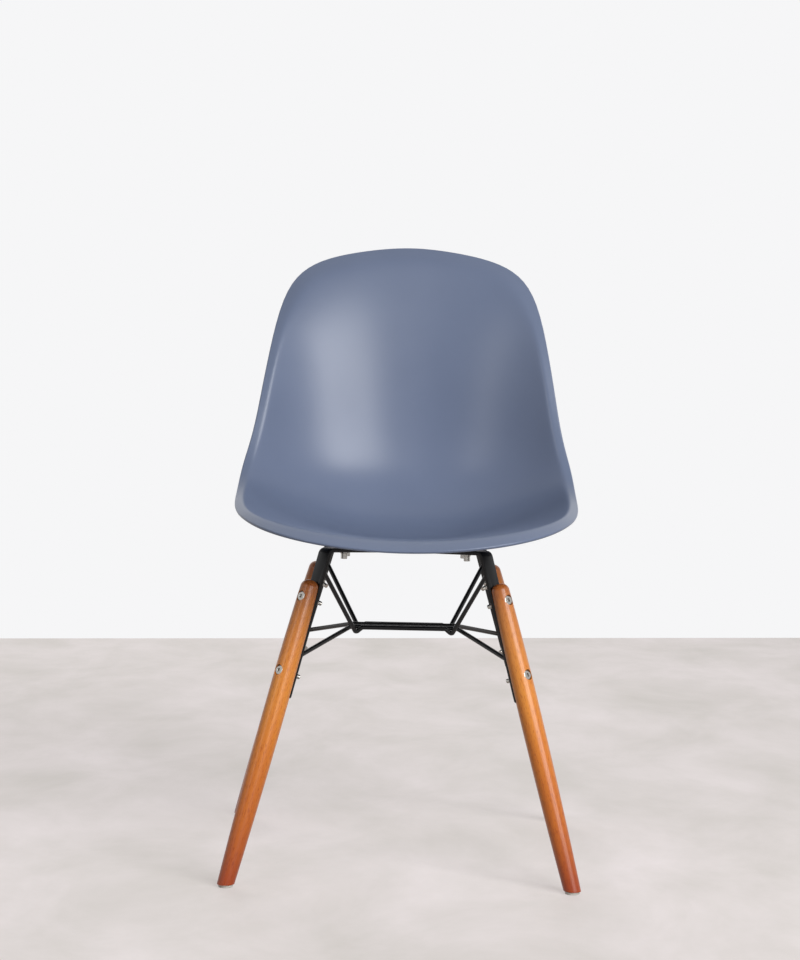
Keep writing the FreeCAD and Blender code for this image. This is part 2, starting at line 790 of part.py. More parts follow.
def make_leg(corner):
    label = "leg_" + corner
    body = doc.addObject("PartDesign::Body", label)
    drop = leg_foot_drop(corner)
    sketch = leg_sketch(body, drop)
    turned = body.newObject("PartDesign::Revolution", label + "_turned")
    turned.Profile = sketch
    turned.ReferenceAxis = (sketch, ["V_Axis"])
    turned.Angle = 360
    doc.recompute()
    length = size("leg_head") + size("screw_pitch") + size("bar_tail") + size("slip")
    carve(
        body, "Box", "flat",
        Placement(
            Vector(-size("leg_flat") - CUTTER, -CUTTER / 2, size("leg_head") - length), Rotation()),
        Length="%s" % CUTTER, Width="%s" % CUTTER,
        Height="sizes.leg_head + sizes.screw_pitch + sizes.bar_tail + sizes.slip")
    turn = Rotation(Vector(0, 1, 0), math.degrees(lean(corner)))
    foot = Vector(0, 0, -drop)
    carve(
        body, "Box", "level_end",
        Placement(foot + turn.multVec(Vector(-CUTTER / 2, -CUTTER / 2, -CUTTER)), turn),
        Length="%s" % CUTTER, Width="%s" % CUTTER, Height="%s" % CUTTER)
    carve(
        body, "Cylinder", "glide_hole", Placement(foot, turn),
        Radius="sizes.glide_pin / 2", Height="sizes.glide_pin_long + sizes.slip")
    for number, down in enumerate((0.0, size("screw_pitch"))):
        seat = surface_radius(down) - size("screw_sink")
        carve(
            body, "Cylinder", "screw_hole_%d" % number,
            Placement(Vector(-size("leg_flat") - OVERRUN, 0, -down), ALONG_X),
            Radius="sizes.screw_diameter / 2 + sizes.slip", Height="%s" % (CUTTER / 2))
        carve(
            body, "Cylinder", "sink_%d" % number, Placement(Vector(seat, 0, -down), ALONG_X),
            Radius="sizes.sink_diameter / 2", Height="%s" % (CUTTER / 2))
    body.Placement = leg_frame(corner, size("bar_thick") + size("leg_flat"))
    return keep(body, label)


for corner in CORNERS:
    make_leg(corner)


# Leg screws and nuts: two of each at every leg

for corner in CORNERS:
    screws = []
    nuts = []
    for number, down in enumerate((0.0, size("screw_pitch"))):
        mark = "%s_%d" % (corner, number + 1)
        seat = size("bar_thick") + size("leg_flat") + surface_radius(down) - size("screw_sink")
        face_in = Placement(Vector(), Rotation(Vector(0, 1, 0), -90))
        screws.append(socket_screw(
            "leg_screw_" + mark, leg_frame(corner, seat, down).multiply(face_in),
            "sizes.screw_head / 2", "sizes.screw_head_high", "sizes.screw_diameter / 2",
            "sizes.screw_long"))
        block = doc.addObject("Part::Prism", "nut_block_" + mark)
        block.Polygon = 6
        bind(block, Circumradius="sizes.nut_flats / sqrt(3)", Height="sizes.nut_high")
        bore = doc.addObject("Part::Cylinder", "nut_bore_" + mark)
        bind(bore, Radius="sizes.screw_diameter / 2 + sizes.thread_slip", Height="sizes.nut_high")
        nut = doc.addObject("Part::Cut", "leg_nut_" + mark)
        nut.Base = block
        nut.Tool = bore
        nut.Placement = leg_frame(corner, 0, down).multiply(face_in)
        nuts.append(nut)
    group("leg_screws_" + corner, screws)
    group("leg_nuts_" + corner, nuts)


# Glides: nylon discs with a pin pressed into each leg's end

for corner in CORNERS:
    label = "glide_" + corner
    disc = doc.addObject("Part::Cylinder", label + "_disc")
    bind(disc, Radius="sizes.glide_diameter / 2", Height="sizes.glide_high")
    pin = doc.addObject("Part::Cylinder", label + "_pin")
    bind(pin, Radius="sizes.glide_pin / 2", Height="sizes.glide_high + sizes.glide_pin_long")
    glide = doc.addObject("Part::Fuse", label)
    glide.Base = disc
    glide.Tool = pin
    axis = leg_frame(corner, size("bar_thick") + size("leg_flat"), leg_foot_drop(corner)).Base
    glide.Placement = Placement(Vector(axis.x, axis.y, 0), Rotation())
    keep(glide, label)


# Every object must be sound before anything is written

doc.recompute()
for item in doc.Objects:
    if "Invalid" in item.State or "Error" in item.State:
        raise RuntimeError("failed: " + item.Name)
for item in sub_parts:
    if item.Shape.isNull() or not item.Shape.isValid():
        raise RuntimeError("bad shape: " + item.Label)

os.makedirs("parts", exist_ok=True)
for item in sub_parts:
    item.Shape.exportStep("parts/%s.step" % item.Label)
    box = item.Shape.optimalBoundingBox()
    print("%-24s %2d solids  %10.1f mm3  x %7.1f..%7.1f  y %7.1f..%7.1f  z %7.1f..%7.1f" % (
        item.Label, len(item.Shape.Solids), item.Shape.Volume,
        box.XMin, box.XMax, box.YMin, box.YMax, box.ZMin, box.ZMax))
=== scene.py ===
import math

import bmesh
import bpy
import numpy as np
from mathutils import Matrix, Vector


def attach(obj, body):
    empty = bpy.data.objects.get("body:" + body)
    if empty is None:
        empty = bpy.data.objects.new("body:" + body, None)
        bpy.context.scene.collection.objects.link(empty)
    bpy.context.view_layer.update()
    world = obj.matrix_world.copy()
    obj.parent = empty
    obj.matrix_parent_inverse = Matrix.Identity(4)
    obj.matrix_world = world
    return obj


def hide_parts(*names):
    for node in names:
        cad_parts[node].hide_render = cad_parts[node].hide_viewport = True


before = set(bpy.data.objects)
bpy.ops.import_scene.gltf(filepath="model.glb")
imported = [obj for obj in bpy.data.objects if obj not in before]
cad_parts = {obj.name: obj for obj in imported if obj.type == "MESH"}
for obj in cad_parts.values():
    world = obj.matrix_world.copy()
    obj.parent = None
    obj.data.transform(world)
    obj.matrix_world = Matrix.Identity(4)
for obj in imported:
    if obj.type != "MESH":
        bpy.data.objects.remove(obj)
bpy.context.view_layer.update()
MM = 0.001


# Camera and studio. One camera at standing height looks slightly down on the chair's
# front, rolled a little as the photograph is. A pale cement floor ends behind the chair
# against white. Two soft lamps hang high at the right, weaker ones at the left and behind.

def linear(hex_colour):
    """A colour written as sRGB hex, as linear RGBA."""
    channels = [int(hex_colour[i:i + 2], 16) / 255 for i in (1, 3, 5)]
    return [c / 12.92 if c <= 0.04045 else ((c + 0.055) / 1.055) ** 2.4 for c in channels] + [1]


def add(tree, kind, inputs=(), **settings):
    """Add a node with its settings. Its inputs, in order or by name, take values or links.

    A node given for an input is linked by its first output."""
    node = tree.nodes.new(kind)
    for key, value in settings.items():
        setattr(node, key, value)
    for key, value in inputs.items() if isinstance(inputs, dict) else enumerate(inputs):
        source = value.outputs[0] if isinstance(value, bpy.types.Node) else value
        if isinstance(source, bpy.types.NodeSocket):
            tree.links.new(source, node.inputs[key])
        else:
            node.inputs[key].default_value = source
    return node


def put(name, data):
    """An object in the scene for a mesh, a camera's data or a lamp's."""
    piece = bpy.data.objects.new(name, data)
    bpy.context.scene.collection.objects.link(piece)
    return piece


def new_material(name):
    """A material with an empty node tree, and that tree."""
    material = bpy.data.materials.new(name)
    material.use_nodes = True
    material.node_tree.nodes.clear()
    return material, material.node_tree


CAMERA_PLACE = Vector((-0.0093, -3.1351, 0.7107))
CAMERA_PITCH = 0.065
CAMERA_ROLL = math.radians(1.18)
CAMERA_LENS = 86.8

camera_data = bpy.data.cameras.new("camera")
camera_data.lens = CAMERA_LENS
camera_data.sensor_fit = "AUTO"
camera_data.sensor_width = 36
camera = put("camera", camera_data)
camera.matrix_world = (
    Matrix.Translation(CAMERA_PLACE)
    @ Matrix.Rotation(math.pi / 2 - CAMERA_PITCH, 4, "X")
    @ Matrix.Rotation(CAMERA_ROLL, 4, "Z")
)
bpy.context.scene.camera = camera
bpy.context.scene.view_settings.view_transform = "Standard"

# The floor and the white behind it look full and bright to the camera and in reflections.
# What they throw back on the chair's underside is less, as in a large studio.
FLOOR_SHADE = "#d1ccc7"
FLOOR_LIGHT = "#ede5e5"
FLOOR_BOUNCE = "#a8a4a0"
FLOOR_EVEN = 0.56
FLOOR_GLOW = 1.15
FLOOR_BACK = 2.17
FLOOR_SKEW = -0.16
FLOOR_FRONT = -6.0
FLOOR_SIDE = 7.0
floor_mesh = bpy.data.meshes.new("floor")
floor_mesh.from_pydata(
    [
        (-FLOOR_SIDE, FLOOR_FRONT, 0),
        (FLOOR_SIDE, FLOOR_FRONT, 0),
        (FLOOR_SIDE, FLOOR_BACK - FLOOR_SKEW * FLOOR_SIDE, 0),
        (-FLOOR_SIDE, FLOOR_BACK + FLOOR_SKEW * FLOOR_SIDE, 0),
    ],
    [],
    [(0, 1, 2, 3)],
)
floor = put("floor", floor_mesh)


# Sums in node trees are so common that their node has a short name.
MATH = "ShaderNodeMath"


def seen_rays(tree):
    """Node that is 1 for rays of the camera, of reflections and of see-through parts."""
    rays = add(tree, "ShaderNodeLightPath")
    mirror = add(
        tree, MATH, [rays.outputs["Is Glossy Ray"], rays.outputs["Is Transmission Ray"]],
        operation="MAXIMUM")
    return add(tree, MATH, [rays.outputs["Is Camera Ray"], mirror], operation="MAXIMUM")


# Trowelled cement: pale warm grey, with soft clouds a hand or two across.
CLOUD_MM = 260
cement, tree = new_material("floor_trowelled_cement")
place = add(tree, "ShaderNodeTexCoord")
stretch = add(tree, "ShaderNodeMapping", {
    "Vector": place.outputs["Object"], "Scale": (1.2, 0.7, 1.0)})
cloud = add(
    tree, "ShaderNodeTexNoise",
    {"Vector": stretch, "Scale": 1000 / CLOUD_MM, "Detail": 9, "Roughness": 0.6, "Distortion": 0.3})
cloud_ramp = add(tree, "ShaderNodeValToRGB", {"Fac": cloud.outputs["Fac"]})
stops = zip(cloud_ramp.color_ramp.elements, (0.25, 0.78), (FLOOR_SHADE, FLOOR_LIGHT))
for stop, at, colour in stops:
    stop.position, stop.color = at, linear(colour)
lit = add(
    tree, "ShaderNodeBsdfPrincipled", {"Base Color": cloud_ramp.outputs["Color"], "Roughness": 0.6})
glow = add(tree, "ShaderNodeEmission", {
    "Color": cloud_ramp.outputs["Color"], "Strength": FLOOR_GLOW})
pale = add(tree, "ShaderNodeMixShader", [FLOOR_EVEN, lit, glow])
bounce = add(tree, "ShaderNodeBsdfDiffuse", {"Color": linear(FLOOR_BOUNCE)})
mix = add(tree, "ShaderNodeMixShader", [seen_rays(tree), bounce, pale])
add(tree, "ShaderNodeOutputMaterial", {"Surface": mix})
floor_mesh.materials.append(cement)

FILL_STRENGTH = 0.06
BACKDROP = 1.0
world = bpy.data.worlds.new("studio")
bpy.context.scene.world = world
world.use_nodes = True
tree = world.node_tree
tree.nodes.clear()
fill = add(tree, "ShaderNodeBackground", {"Color": linear("#ffffff"), "Strength": FILL_STRENGTH})
backdrop = add(tree, "ShaderNodeBackground", {"Color": linear("#f6f6f7"), "Strength": BACKDROP})
mix = add(tree, "ShaderNodeMixShader", [seen_rays(tree), fill, backdrop])
add(tree, "ShaderNodeOutputWorld", {"Surface": mix})


def soft_lamp(name, place, target, size, power):
    """A rectangular soft lamp that faces a point."""
    data = bpy.data.lights.new(name, "AREA")
    data.shape = "RECTANGLE"
    data.size, data.size_y = size
    data.energy = power
    lamp = put(name, data)
    lamp.location = place
    lamp.rotation_euler = (Vector(target) - Vector(place)).to_track_quat("-Z", "Y").to_euler()
    return lamp


soft_lamp("key_lamp", (1.3, -2.9, 2.2), (0, 0, 0.6), (1.2, 2.6), 66)
soft_lamp("side_lamp", (2.3, -2.25, 2.2), (0, 0, 0.6), (1.0, 2.4), 64)
soft_lamp("left_lamp", (-2.1, -2.1, 2.2), (0, 0, 0.6), (0.8, 2.2), 13)
back_lamp = soft_lamp("back_lamp", (-0.9, 2.9, 2.4), (0, 0, 0.5), (1.8, 2.2), 42)
back_lamp.visible_glossy = False


# Seat shell: one injection moulding in polypropylene, 4.5 mm thick, with a rolled rim all
# round and four round bosses under the seat that take threaded inserts. The form is a
# flat blank bent along a centre line, with its sides raised and its rim turned down.

SHELL_WALL = 4.5
SHELL_FRONT = -269.8
SEAT_HEIGHT = 451.0
SEAT_SLOPE = 5.5
SEAT_RUN = 240.0
BEND_RUN = 320.0
SHELL_LENGTH = 808.4
BACK_SLOPE = 80.0
BACK_FLARE = 12.0
HALF_WIDTHS = [197.3, 232.6, 241.5, 244.2, 209.4, 174.2, 256.2]
SIDE_RISES = [27.0, 37.9, 38.5, 151.6, 115.8, 59.2, 15.2]
DISH_POWERS = (2.0, 2.42)
BLANK_MIDDLE = 0.36
CORNER_SQUARES = (3.2, 4.8)
CORNER_FADE = 0.6
EDGE_ARCHES = (0.0, 0.09)
ARCH_SOFT = 0.25
BAND_WIDTHS = (20.9, 12.0, 24.0)
BAND_FALLS = (0.73, 0.90, 0.45)
BAND_SOFTS = (7.9, 3.0, 10.1)
FRONT_FADE = (0.46, 0.57)
TOP_FADE = (0.72, 0.26)
RIM_ROUND = 1.9


def smooth(x):
    """0 below 0, 1 above 1, and a smooth step between."""
    x = np.clip(x, 0, 1)
    return x * x * (3 - 2 * x)


def between(values, t):
    """Smooth curve led by a few values, from the first at t=0 to the last at t=1."""
    last = len(values) - 1
    return sum(
        math.comb(last, i) * t ** i * (1 - t) ** (last - i) * v for i, v in enumerate(values))


# The centre line is drawn a little past both edges, in steps of 1 mm.
LINE_PAST = 20.0
line_s = np.arange(-LINE_PAST, SHELL_LENGTH + LINE_PAST, 1.0)
line_angle = np.radians(
    -SEAT_SLOPE
    + (BACK_SLOPE + SEAT_SLOPE) * smooth((line_s - SEAT_RUN) / BEND_RUN)
    - BACK_FLARE * smooth((line_s - SEAT_RUN - BEND_RUN) / (SHELL_LENGTH - SEAT_RUN - BEND_RUN))
)
step_angle = (line_angle[1:] + line_angle[:-1]) / 2
line_y = np.concatenate([[0], np.cumsum(np.cos(step_angle))])
line_z = np.concatenate([[0], np.cumsum(np.sin(step_angle))])
line_y += SHELL_FRONT - np.interp(0, line_s, line_y)
line_z += SEAT_HEIGHT - np.interp(0, line_s, line_z)


def bent(x, s, drop=0.0):
    """Points of the sitting face over the blank's points (x, s), let down by drop."""
    t = s / SHELL_LENGTH
    y = np.interp(s, line_s, line_y)
    z = np.interp(s, line_s, line_z)
    angle = np.interp(s, line_s, line_angle)
    power = DISH_POWERS[0] + (DISH_POWERS[1] - DISH_POWERS[0]) * t
    lift = between(SIDE_RISES, t) * (np.abs(x) / between(HALF_WIDTHS, t)) ** power - drop
    return np.stack([x, y - lift * np.sin(angle), z + lift * np.cos(angle)], -1)


def blank_point(r, angle):
    """Points (x, s) of the blank on rays from its middle, r=0, to its edge, r=1."""
    across, along = np.cos(angle), np.sin(angle)
    square = CORNER_SQUARES[0] + (CORNER_SQUARES[1] - CORNER_SQUARES[0]) * smooth(
        (along + CORNER_FADE) / (2 * CORNER_FADE))
    stretch = (np.abs(across) ** square + np.abs(along) ** square) ** (-1 / square)
    stretch = 1 + (stretch - 1) * r * r
    middle = BLANK_MIDDLE * SHELL_LENGTH
    p, q = across * stretch * r, along * stretch * r
    arch = np.where(q > 0, EDGE_ARCHES[1], EDGE_ARCHES[0])
    q = q * (1 - arch * (np.hypot(p, ARCH_SOFT) - ARCH_SOFT))
    s = middle + SHELL_LENGTH / 2 * q + (SHELL_LENGTH / 2 - middle) * q * q
    return p * between(HALF_WIDTHS, s / SHELL_LENGTH), s, q


def edge_gauge(angle):
    """Distance from the blank's edge for one unit of r, and the edge's place along the blank."""
    inwards, turn = 0.02, 0.001
    one = np.ones_like(angle)
    x1, s1, q = blank_point(one, angle)
    x0, s0, _ = blank_point(one * (1 - inwards), angle)
    xa, sa, _ = blank_point(one, angle - turn)
    xb, sb, _ = blank_point(one, angle + turn)
    length = np.hypot(xb - xa, sb - sa)
    return np.abs((x1 - x0) * (sb - sa) - (s1 - s0) * (xb - xa)) / length / inwards, q


def shell_point(a, b):
    """Points of the sitting face over the unit disc's points (a, b)."""
    r = np.hypot(a, b)
    angle = np.arctan2(b, a)
    x, s, _ = blank_point(r, angle)
    gauge, q = edge_gauge(angle)
    front = smooth((-q - FRONT_FADE[0]) / FRONT_FADE[1])
    top = smooth((q - TOP_FADE[0]) / TOP_FADE[1])
    width, fall, soft = (
        v[0] * front + v[1] * (1 - front - top) + v[2] * top
        for v in (BAND_WIDTHS, BAND_FALLS, BAND_SOFTS)
    )
    past = width - (1 - r) * gauge
    return bent(x, s, fall * (past + np.hypot(past, soft)) / 2)


def shell_normal(a, b):
    """Unit normals of the sitting face over the disc's points (a, b)."""
    step = 0.001
    du = shell_point(a + step, b) - shell_point(a - step, b)
    dv = shell_point(a, b + step) - shell_point(a, b - step)
    normal = np.cross(du, dv)
    return normal / np.linalg.norm(normal, axis=-1, keepdims=True)


SQUARE_HALF = 0.55
SQUARE_CELLS = 44
RING_COUNT = 44
RING_GATHER = 0.9


def disc_mesh(inner_cells, ring_reach):
    """Points (a, b) of a disc of quads: a square in the middle and rings out to the edge."""
    ticks = np.linspace(-SQUARE_HALF, SQUARE_HALF, inner_cells + 1)
    points = [(u, v) for v in ticks for u in ticks]
    row = inner_cells + 1
    quads = [
        (j * row + i, j * row + i + 1, (j + 1) * row + i + 1, (j + 1) * row + i)
        for j in range(inner_cells) for i in range(inner_cells)
    ]
    last = inner_cells
    border = [(i, 0) for i in range(last)] + [(last, j) for j in range(last)]
    border += [(last - i, last) for i in range(last)] + [(0, last - j) for j in range(last)]
    ring = [j * row + i for i, j in border]
    count = len(ring)
    angles = -3 * math.pi / 4 + 2 * math.pi * np.arange(count) / count
    start = np.array([points[k] for k in ring])
    for share in ring_reach:
        edge = np.stack([np.cos(angles), np.sin(angles)], -1)
        rounded = start * (1 - share) + edge * share
        first = len(points)
        points += [tuple(p) for p in rounded]
        fresh = list(range(first, first + count))
        quads += [
            (ring[k], fresh[k], fresh[(k + 1) % count], ring[(k + 1) % count]) for k in range(count)
        ]
        ring = fresh
    return np.array(points), quads, ring


ring_reach = [
    math.sin(math.pi / 2 * (k + 1) / RING_COUNT) ** RING_GATHER for k in range(RING_COUNT)]
disc, quads, ring = disc_mesh(SQUARE_CELLS, ring_reach)
disc_angle = np.arctan2(disc[:, 1], disc[:, 0])
gauge, _ = edge_gauge(disc_angle)
disc = disc * (1 - RIM_ROUND / gauge)[:, None]
upper = shell_point(disc[:, 0], disc[:, 1])
normals = shell_normal(disc[:, 0], disc[:, 1])
lower = upper - normals * SHELL_WALL
rim = np.array(ring)
ahead = np.roll(upper[rim], -1, 0) - np.roll(upper[rim], 1, 0)
outwards = np.cross(ahead, normals[rim])
outwards /= np.linalg.norm(outwards, axis=-1, keepdims=True)
vertices = [upper, lower]
rim_rows = [rim]
ROUND_STEPS = 5
turns = [k * math.pi / 2 / ROUND_STEPS for k in range(1, ROUND_STEPS + 1)]
section = [(RIM_ROUND * math.sin(turn), RIM_ROUND * (1 - math.cos(turn))) for turn in turns]
section += [(out, SHELL_WALL - deep) for out, deep in reversed(section)]
total = 2 * len(upper)
for out, deep in section:
    vertices.append(upper[rim] + outwards * out - normals[rim] * deep)
    rim_rows.append(np.arange(total, total + len(rim)))
    total += len(rim)
rim_rows.append(rim + len(upper))
faces = list(quads)
faces += [tuple(len(upper) + k for k in reversed(quad)) for quad in quads]
count = len(rim)
for above, below in zip(rim_rows[:-1], rim_rows[1:]):
    faces += [
        (int(above[k]), int(below[k]), int(below[(k + 1) % count]), int(above[(k + 1) % count]))
        for k in range(count)
    ]


SHARP_DEGREES = 35


def sharpen(piece):
    """Smooth shading that breaks at real edges."""
    piece.data.shade_smooth()
    piece.data.set_sharp_from_angle(angle=math.radians(SHARP_DEGREES))


def finish_piece(piece, material, slot, *nodes):
    """Give a piece its material, let it ride, and hide the CAD nodes it stands for. The slot is not
    used.
    """
    piece.data.materials.clear()
    piece.data.materials.append(material)
    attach(piece, "root")
    if nodes:
        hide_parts(*nodes)


def mesh_piece(name, vertices, faces):
    """A mesh object at the origin from points in millimetres, with its normals outwards."""
    mesh = bpy.data.meshes.new(name)
    mesh.from_pydata([tuple(float(c) * MM for c in v) for v in vertices], [], faces)
    work = bmesh.new()
    work.from_mesh(mesh)
    bmesh.ops.recalc_face_normals(work, faces=work.faces)
    work.to_mesh(mesh)
    work.free()
    mesh.shade_smooth()
    return put(name, mesh)


shell = mesh_piece("moulded_shell", np.concatenate(vertices), faces)

# Frames of the four fixings: on the bars' underside, square to the bar, X outwards.
BASE_Y = -23.8
BAR_ANGLE = math.radians(43.94)
FRAME_HEIGHT = 411.1
FRAME_SLOPE = math.radians(4.3)
MOUNT_REACH = 112.0
CORNERS = {
    "front_left": (-1, -1), "front_right": (1, -1), "rear_left": (-1, 1), "rear_right": (1, 1)}


def outward(corner):
    """Level direction from the crossing of the bars to a corner."""
    side, end = CORNERS[corner]
    return Vector((side * math.cos(BAR_ANGLE), end * math.sin(BAR_ANGLE), 0))


def frame_at(origin, x_axis, z_axis):
    """Matrix of a frame from its origin and two of its axes."""
    x_axis, z_axis = x_axis.normalized(), z_axis.normalized()
    turn = Matrix((x_axis, z_axis.cross(x_axis), z_axis)).transposed()
    return Matrix.Translation(origin) @ turn.to_4x4()


def mount_frame(corner, up=0.0):
    """Frame of a fixing, a distance above the bar's underside."""
    rise = -CORNERS[corner][1] * math.sin(BAR_ANGLE) * math.tan(FRAME_SLOPE)
    out = outward(corner)
    base = Vector((0, BASE_Y, FRAME_HEIGHT + rise * MOUNT_REACH)) + out * MOUNT_REACH
    normal = Vector((0, 0, 1)) - out * rise
    return frame_at(base + normal.normalized() * up, out + Vector((0, 0, rise)), normal)


def turned(profile, place, steps):
    """Points and faces of a piece turned about Z from a closed outline of (radius, height)."""
    points = []
    faces = []
    rows = []
    for radius, height in profile:
        count = 1 if radius == 0 else steps
        rows.append([len(points) + k for k in range(count)])
        points += [
            place @ Vector((
                radius * math.cos(2 * math.pi * k / steps),
                radius * math.sin(2 * math.pi * k / steps), height))
            for k in range(count)
        ]
    for here, ahead in zip(rows, rows[1:] + rows[:1]):
        for k in range(steps):
            corners = [here[k % len(here)], here[(k + 1) % len(here)],
                       ahead[(k + 1) % len(ahead)], ahead[k % len(ahead)]]
            face = list(dict.fromkeys(corners))
            if len(face) > 2:
                faces.append(face)
    return points, faces


def joined(parts):
    """Points and faces of several parts as one list each."""
    points = []
    faces = []
    for some_points, some_faces in parts:
        faces += [[len(points) + k for k in face] for face in some_faces]
        points += list(some_points)
    return points, faces


SLIVER = 3e-6


def made_plain(piece):
    """The piece's evaluated mesh as its own mesh, with no modifier and no sliver faces left."""
    graph = bpy.context.evaluated_depsgraph_get()
    mesh = bpy.data.meshes.new_from_object(piece.evaluated_get(graph))
    piece.modifiers.clear()
    work = bmesh.new()
    work.from_mesh(mesh)
    bmesh.ops.remove_doubles(work, verts=work.verts, dist=SLIVER)
    bmesh.ops.dissolve_degenerate(work, edges=work.edges, dist=SLIVER)
    bmesh.ops.triangulate(work, faces=[face for face in work.faces if len(face.verts) > 4])
    bmesh.ops.dissolve_degenerate(work, edges=work.edges, dist=SLIVER)
    work.to_mesh(mesh)
    work.free()
    piece.data = mesh
    return piece


# The bosses: 26 mm round, open below for the inserts, with a small radius at the end.
BAR_THICK = 5.0
PAD_THICK = 6.0
BOSS_RADIUS = 13.0
BOSS_EASE = 0.8
INSERT_RADIUS = 5.0
INSERT_DEEP = 8.0
BOSS_TOPS = {"front": 8.4, "rear": 16.0}
DISC_SIDES = 64
bosses = []
for corner in CORNERS:
    top = BOSS_TOPS[corner.split("_")[0]]
    outline = [
        (INSERT_RADIUS, 0), (BOSS_RADIUS - BOSS_EASE, 0), (BOSS_RADIUS, BOSS_EASE),
        (BOSS_RADIUS, top), (0, top), (0, INSERT_DEEP), (INSERT_RADIUS, INSERT_DEEP)]
    bosses.append(turned(outline, mount_frame(corner, BAR_THICK + PAD_THICK), DISC_SIDES))
boss_piece = mesh_piece("bosses", *joined(bosses))
union = shell.modifiers.new("bosses", "BOOLEAN")
union.operation = "UNION"
union.solver = "EXACT"
union.object = boss_piece
made_plain(shell)
bpy.data.objects.remove(boss_piece)
sharpen(shell)

# Moulded polypropylene: satin, hardly any change of colour, with a fine spark-eroded grain
# that is drawn several times coarser than it is, so that it shows.
TONE_MM = 1000 / 9
GRAIN_MM = 0.9
polypropylene, tree = new_material("shell_moulded_polypropylene")
place = add(tree, "ShaderNodeTexCoord")
tone = add(tree, "ShaderNodeTexNoise", {
    "Vector": place.outputs["Object"], "Scale": 1000 / TONE_MM, "Detail": 3})
tone_ramp = add(tree, "ShaderNodeValToRGB", {"Fac": tone.outputs["Fac"]})
for stop, at, colour in zip(tone_ramp.color_ramp.elements, (0.3, 0.7), ("#65718b", "#69758f")):
    stop.position, stop.color = at, linear(colour)
grain = add(
    tree, "ShaderNodeTexNoise",
    {"Vector": place.outputs["Object"], "Scale": 1000 / GRAIN_MM, "Detail": 2, "Roughness": 0.6})
bump = add(
    tree, "ShaderNodeBump", {"Height": grain.outputs["Fac"], "Strength": 0.1, "Distance": 0.0002})
shader = add(
    tree, "ShaderNodeBsdfPrincipled",
    {"Base Color": tone_ramp.outputs["Color"], "Normal": bump.outputs["Normal"], "Roughness": 0.33,
     "IOR": 1.49})
add(tree, "ShaderNodeOutputMaterial", {"Surface": shader})
finish_piece(shell, polypropylene, "shell_plastic", "seat_shell")


# Threaded inserts: four brass sleeves pressed into the bosses while they are warm. Fine
# straight knurling round the outside keeps them from turning, and a collar from pulling out.

INSERT_BORE = 3.05
KNURL_COUNT = 36
KNURL_DEEP = 0.3
KNURL_END = 0.1
INSERT_MOUTH = 0.4
INSERT_EASE = 0.2
COLLAR_LOW = 1.2
COLLAR_HIGH = 1.0


def knurled(outline, place, deep_heights):
    """A turned sleeve whose wall between two heights has fine straight ridges."""
    points, faces = turned(outline, place, KNURL_COUNT * 2)
    back = place.inverted()
    for i, point in enumerate(points):
        local = back @ point
        around = round(math.atan2(local.y, local.x) / (math.pi / KNURL_COUNT))
        inside = deep_heights[0] < local.z < deep_heights[1]
        if inside and around % 2 and local.xy.length > INSERT_RADIUS - 0.1:
            local.xy *= 1 - KNURL_DEEP / INSERT_RADIUS
            points[i] = place @ local
    return points, faces


sleeve = [
    (INSERT_BORE + INSERT_MOUTH, 0), (INSERT_RADIUS - INSERT_EASE, 0),
    (INSERT_RADIUS, INSERT_EASE), (INSERT_RADIUS, COLLAR_LOW),
    (INSERT_RADIUS, COLLAR_LOW + KNURL_END), (INSERT_RADIUS, INSERT_DEEP - COLLAR_HIGH),
    (INSERT_RADIUS, INSERT_DEEP - COLLAR_HIGH + KNURL_END), (INSERT_RADIUS, INSERT_DEEP),
    (INSERT_BORE, INSERT_DEEP), (INSERT_BORE, INSERT_MOUTH)]
knurl_low = COLLAR_LOW + KNURL_END / 2
knurl_high = INSERT_DEEP - COLLAR_HIGH + KNURL_END / 2
inserts = mesh_piece("brass_inserts", *joined(
    knurled(sleeve, mount_frame(corner, BAR_THICK + PAD_THICK), (knurl_low, knurl_high))
    for corner in CORNERS))
sharpen(inserts)

# Turned brass: warm yellow metal, a little dull, with tool marks drawn coarser than they are.
TOOL_MARK_MM = 10 / 9
brass, tree = new_material("inserts_turned_brass")
place = add(tree, "ShaderNodeTexCoord")
marks = add(tree, "ShaderNodeTexNoise", {
    "Vector": place.outputs["Object"], "Scale": 1000 / TOOL_MARK_MM, "Detail": 2})
brass_ramp = add(tree, "ShaderNodeValToRGB", {"Fac": marks.outputs["Fac"]})
for stop, colour in zip(brass_ramp.color_ramp.elements, ("#a8863f", "#c9a75c")):
    stop.color = linear(colour)
shader = add(
    tree, "ShaderNodeBsdfPrincipled",
    {"Base Color": brass_ramp.outputs["Color"], "Metallic": 1.0, "Roughness": 0.34})
add(tree, "ShaderNodeOutputMaterial", {"Surface": shader})
finish_piece(inserts, brass, "insert_brass", "threaded_inserts")


# Spacer pads: four moulded rubber discs between the bosses and the bars. Their edges bulge
# a little under the load of the bolts.

PAD_RADIUS = 12.5
PAD_BULGE = 0.5
BOLT_SLIP_RADIUS = 3.3
PAD_STEPS = 6
bulge = [
    (PAD_RADIUS - PAD_BULGE * (2 * k / PAD_STEPS - 1) ** 2, PAD_THICK * k / PAD_STEPS)
    for k in range(PAD_STEPS + 1)]
pad_outline = [(BOLT_SLIP_RADIUS, 0)] + bulge + [(BOLT_SLIP_RADIUS, PAD_THICK)]
pads = mesh_piece("rubber_pads", *joined(
    turned(pad_outline, mount_frame(corner, BAR_THICK), DISC_SIDES) for corner in CORNERS))
sharpen(pads)

